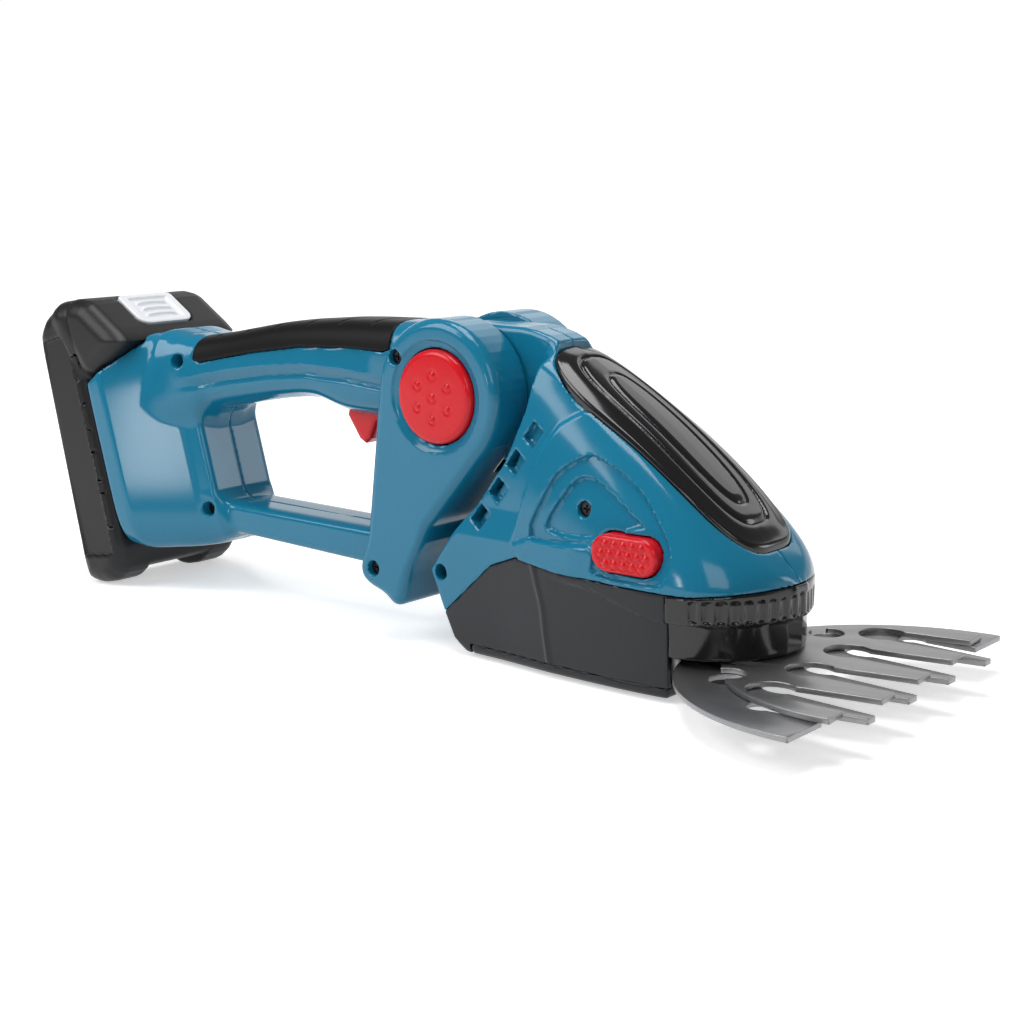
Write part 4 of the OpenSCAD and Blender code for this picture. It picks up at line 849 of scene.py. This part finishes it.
def battery_form(x, y, z):
    n, t = to_foot(x, z)
    side = np.abs(y)
    pack, house = (rmax(poly(n, t, soften(outline)), side - BATTERY_HALF, r=BATTERY_ROUND)
                   for outline in (PACK, LATCH_HOUSE))
    body = rmin(pack, house, r=4)
    body = rmax(body, -rmax(poly(n, t, INSET) - INSET_GROW, INSET_Y - side, r=0.4), r=0.5)
    for low, high in CLIPS:
        edge = np.abs(rmax(slab(n, CLIP_FROM, CLIP_TO), slab(t, low, high), r=0.8)) - CLIP_LINE
        body = rmax(body, -np.maximum(edge, CLIP_Y - side), r=0.2)
    body = body + CASE_LINE_DEEP * swell(n - CASE_LINE_N, CASE_LINE_WIDE) * fade(side, start=24, over=4)
    body = rmax(body, -meet(side - UNDER_HALF, t - UNDER_TOP, n - UNDER_N), r=2)
    u, w = latch_axes(x, z)
    return rmax(body, -np.maximum(poly(u, y, LATCH) - LATCH_GAP, -w - LATCH_WELL), r=0.5)


def latch_form(x, y, z):
    """Button with a dished face and three bowed bars on it."""
    u, w = latch_axes(x, z)
    d, side = poly(u, y, LATCH), np.abs(y)
    top = w - LATCH_PROUD + LATCH_DISH * fade(-d, start=2.4, over=1.2) * fade(-side, start=-12, over=2)
    for k in LATCH_BARS:
        rise = LATCH_BAR_HIGH * swell(u - k - LATCH_BAR_BOW * y * y, LATCH_BAR_WIDE)
        top = top - rise * fade(-side, start=-9.5, over=2)
    return rmax(rmax(d, top, r=0.6), -LATCH_DEEP - w, r=0.2)


PAIRS = [  # name, body, slot, form, then x, distance from the middle plane, z, and size of the cells
    ("head_shell_", "head", "teal_shell", head_shell, (-93, 81), (0, 38.2), (13, 129), 0.7),
    ("handle_shell_", "handle", "teal_shell", handle_shell, (-267, -34), (0, 38.2), (12, 131), 0.8),
    ("fold_button_", "fold_button_", "red", fold_button, (-84, -46), (24, 33.6), (81, 119), 0.45),
    ("blade_button_", "blade_button_", "red", blade_button, (13, 43), (29, 38.4), (43, 59), 0.4),
]
SINGLES = [  # name, body, slot, form, two corners, and size of the cells
    ("roof_panel", "head", "gloss_black", panel_form, (-23, -23, 40), (70, 23, 125), 0.5),
    ("base_cover", "head", "dark_base", base_form, (-66, -38.6, 0), (46.5, 38.6, 44), 0.7),
    ("sole_plate", "head", "dark_base", sole_form, (-50.5, -36, -0.2), (63.5, 36, 13), 0.7),
    ("nose_cap", "head", "gloss_black", nose_form, (45.5, -38.5, 15), (80.5, 38.5, 43), 0.6),
    ("grip_pad", "handle", "rubber_pad", pad_form, (-216, -21, 99), (-98, 21, 127), 0.6),
    ("trigger", "trigger", "red", trigger_form, (-136, -7, 72), (-104, 7, 108), 0.5),
    ("battery_case", "battery", "battery_black", battery_form, (-300, -38, -4), (-228, 38, 134), 0.9),
    ("battery_latch", "battery_latch", "pale_latch", latch_form, (-290, -17, 100), (-225, 17, 136), 0.45),
]
for side, hand in ((-1, "right"), (1, "left")):
    for name, body, slot, form, xs, apart, zs, size in PAIRS:
        ys = sorted(side * d for d in apart)
        body = body + hand if body.endswith("_") else body
        piece(name + hand, body, slot, form(side), (xs[0], ys[0], zs[0]), (xs[1], ys[1], zs[1]), size)
for row in SINGLES:
    piece(*row)

# Solids that show as the CAD has them, with softened edges. Sizes from here on are in metres.

SOFT_EDGE, SEAM_WELD = 0.0004, 1e-6
CAD_SHARP, CAD_BEVEL = math.radians(32), math.radians(40)
BLADES = ("fixed_comb", "moving_blade")
BLADE_EDGE = 0.0018
UPRIGHT, TIP_FROM, TOOTH_FROM = 0.001, 0.055, 0.025  # height of an upright edge, and distances from the pivot
EDGE_SHARE, TIP_SHARE, TOOTH_SHARE = 0.15, 1.0, 0.45
FLAT_TURN, TOP_BAND = 0.88, 1e-4  # cosine of the least turn at an edge, and depth that counts as the top


def grind(o, soft):
    """Bevels a blade's outer corners most, the tops of its teeth less, and other edges a little."""
    mesh = bmesh.new()
    mesh.from_mesh(o.data)
    place = o.matrix_world
    sides = {}
    for e in mesh.edges:
        ends = tuple(sorted(tuple(round(c, 6) for c in place @ v.co) for v in e.verts))
        faces = [(e.index, f.normal.copy(), f.calc_center_median()) for f in e.link_faces]
        sides.setdefault(ends, []).extend(faces)
    top = max(v[0][2] for v in sides)
    weight = np.zeros(len(mesh.edges), np.float32)
    for (a, b), faces in sides.items():
        if len(faces) != 2 or faces[0][1].dot(faces[1][1]) > FLAT_TURN:
            continue
        (_, turn, here), (_, _, there) = faces
        convex = (there - here).dot(turn) < 0
        reach = min(math.hypot(q[0] - PIVOT_X * MM, q[1]) for q in (a, b))
        share = EDGE_SHARE
        if abs(a[2] - b[2]) > UPRIGHT:
            share = TIP_SHARE if convex and reach > TIP_FROM else 0.0
        elif min(a[2], b[2]) > top - TOP_BAND and reach > TOOTH_FROM:
            share = TOOTH_SHARE
        for index, _, _ in faces:
            weight[index] = share
    mesh.free()
    o.data.attributes.new("bevel_weight_edge", "FLOAT", "EDGE").data.foreach_set("value", weight)
    soft.limit_method = "WEIGHT"
    soft.width = BLADE_EDGE
    soft.segments = 3


slots = {s["node"]: s["material_slot"] for s in frame["record"]["subparts"]}
for name, o in nodes.items():
    o.data.materials.clear()
    o.data.materials.append(MATERIALS[slots[name]])
    if o.hide_render:
        continue
    if "custom_normal" in o.data.attributes:
        o.data.attributes.remove(o.data.attributes["custom_normal"])
    o.data.shade_smooth()
    o.data.set_sharp_from_angle(angle=CAD_SHARP)
    seams = o.modifiers.new("seams", "WELD")
    seams.merge_threshold = SEAM_WELD
    soft = o.modifiers.new("soft_edge", "BEVEL")
    soft.width = SOFT_EDGE
    soft.segments = 2
    soft.limit_method = "ANGLE"
    soft.angle_limit = CAD_BEVEL
    if name in BLADES:
        grind(o, soft)

# Floor, light and camera

WHITE = (1, 1, 1, 1)
FLOOR_SIZE, FLOOR_DROP = 8, 0.0002
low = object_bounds()[0].z
bpy.ops.mesh.primitive_plane_add(size=FLOOR_SIZE, location=(0, 0, low - FLOOR_DROP))
floor = bpy.context.object
floor.name = "floor"
pale = material("floor", (0.86, 0.86, 0.86), rough=0.8, spread=0.01, grain=60, bump=0.0)


def light_path(tree, output):
    return tree.nodes.new("ShaderNodeLightPath").outputs[output]


def shown(tree):
    """1 for what the camera sees, also in gloss and through glass, and 0 for light."""
    straight = combine(tree, light_path(tree, "Is Camera Ray"), light_path(tree, "Is Transmission Ray"),
                       "MAXIMUM")
    return combine(tree, straight, light_path(tree, "Is Glossy Ray"), "MAXIMUM")


# The floor glows towards white away from the part, and keeps its shadow
ground = pale.node_tree
surface = ground.nodes["Principled BSDF"]
surface.inputs["Emission Color"].default_value = WHITE
span = ground.nodes.new("ShaderNodeVectorMath")
span.operation = "LENGTH"
spot = ground.nodes.new("ShaderNodeTexCoord")
ground.links.new(spot.outputs["Object"], span.inputs[0])
glow = combine(ground, scaled(ground, span.outputs["Value"], 0.35, 1.8, low=0.5, high=0.95), shown(ground))
ground.links.new(glow, surface.inputs["Emission Strength"])
floor.data.materials.append(pale)

# The world is white low all round for the camera, white behind the part in gloss, and dim elsewhere
world = bpy.data.worlds.new("studio")
bpy.context.scene.world = world
world.use_nodes = True
sky = world.node_tree
back = sky.nodes["Background"]
back.inputs["Color"].default_value = WHITE
heading = sky.nodes.new("ShaderNodeTexCoord")
split = sky.nodes.new("ShaderNodeSeparateXYZ")
sky.links.new(heading.outputs["Generated"], split.inputs[0])
rim = combine(sky, scaled(sky, split.outputs["Z"], 0.09, 0.14, low=1, high=0, smooth=True),
              light_path(sky, "Is Camera Ray"))
behind = combine(sky, scaled(sky, split.outputs["Y"], 0.1, 0.5, low=0, high=1, smooth=True),
                 scaled(sky, split.outputs["Z"], 0.2, 0.42, low=1, high=0, smooth=True))
drop = combine(sky, combine(sky, rim, behind, "MAXIMUM"), shown(sky))
sky.links.new(scaled(sky, drop, 0, 1, low=0.2, high=1.02), back.inputs["Strength"])

LAMPS = [  # name, place, target, size and power
    ("key", (-0.7, -0.8, 0.8), (-0.1, 0, 0.06), (0.6, 0.8), 8),
    ("front", (-0.115, -1.02, 0.18), (-0.2, 0, 0.08), (0.085, 0.14), 0.4),
    ("side", (0.72, 0.84, 0.42), (-0.1, 0, 0.06), (0.3, 0.3), 0.9),
    ("back", (-0.35, 1.15, 0.85), (0, 0, 0.08), (1.4, 0.5), 3),
    ("top", (-0.1, -0.08, 1.1), (0.0, 0, 0.05), (0.8, 0.5), 8),
    ("fill", (0.9, -0.9, 0.7), (0, 0, 0.06), (0.6, 0.6), 3),
]
for name, place, target, size, power in LAMPS:
    data = bpy.data.lights.new(name, "AREA")
    data.shape = "RECTANGLE"
    data.size, data.size_y = size
    data.energy = power
    o = bpy.data.objects.new(name, data)
    o.location = place
    o.rotation_euler = (Vector(target) - Vector(place)).to_track_quat("-Z", "Y").to_euler()
    bpy.context.scene.collection.objects.link(o)

cam = bpy.data.objects.new("camera", bpy.data.cameras.new("camera"))
cam.location = (0.4060, -0.5837, 0.1960)
cam.rotation_euler = (math.radians(79.0), 0, math.radians(38.1))
cam.data.lens = 66.8
cam.data.sensor_width = 36
cam.data.clip_start = 0.01
bpy.context.scene.collection.objects.link(cam)
bpy.context.scene.camera = cam
bpy.context.scene.view_settings.view_transform = "Standard"
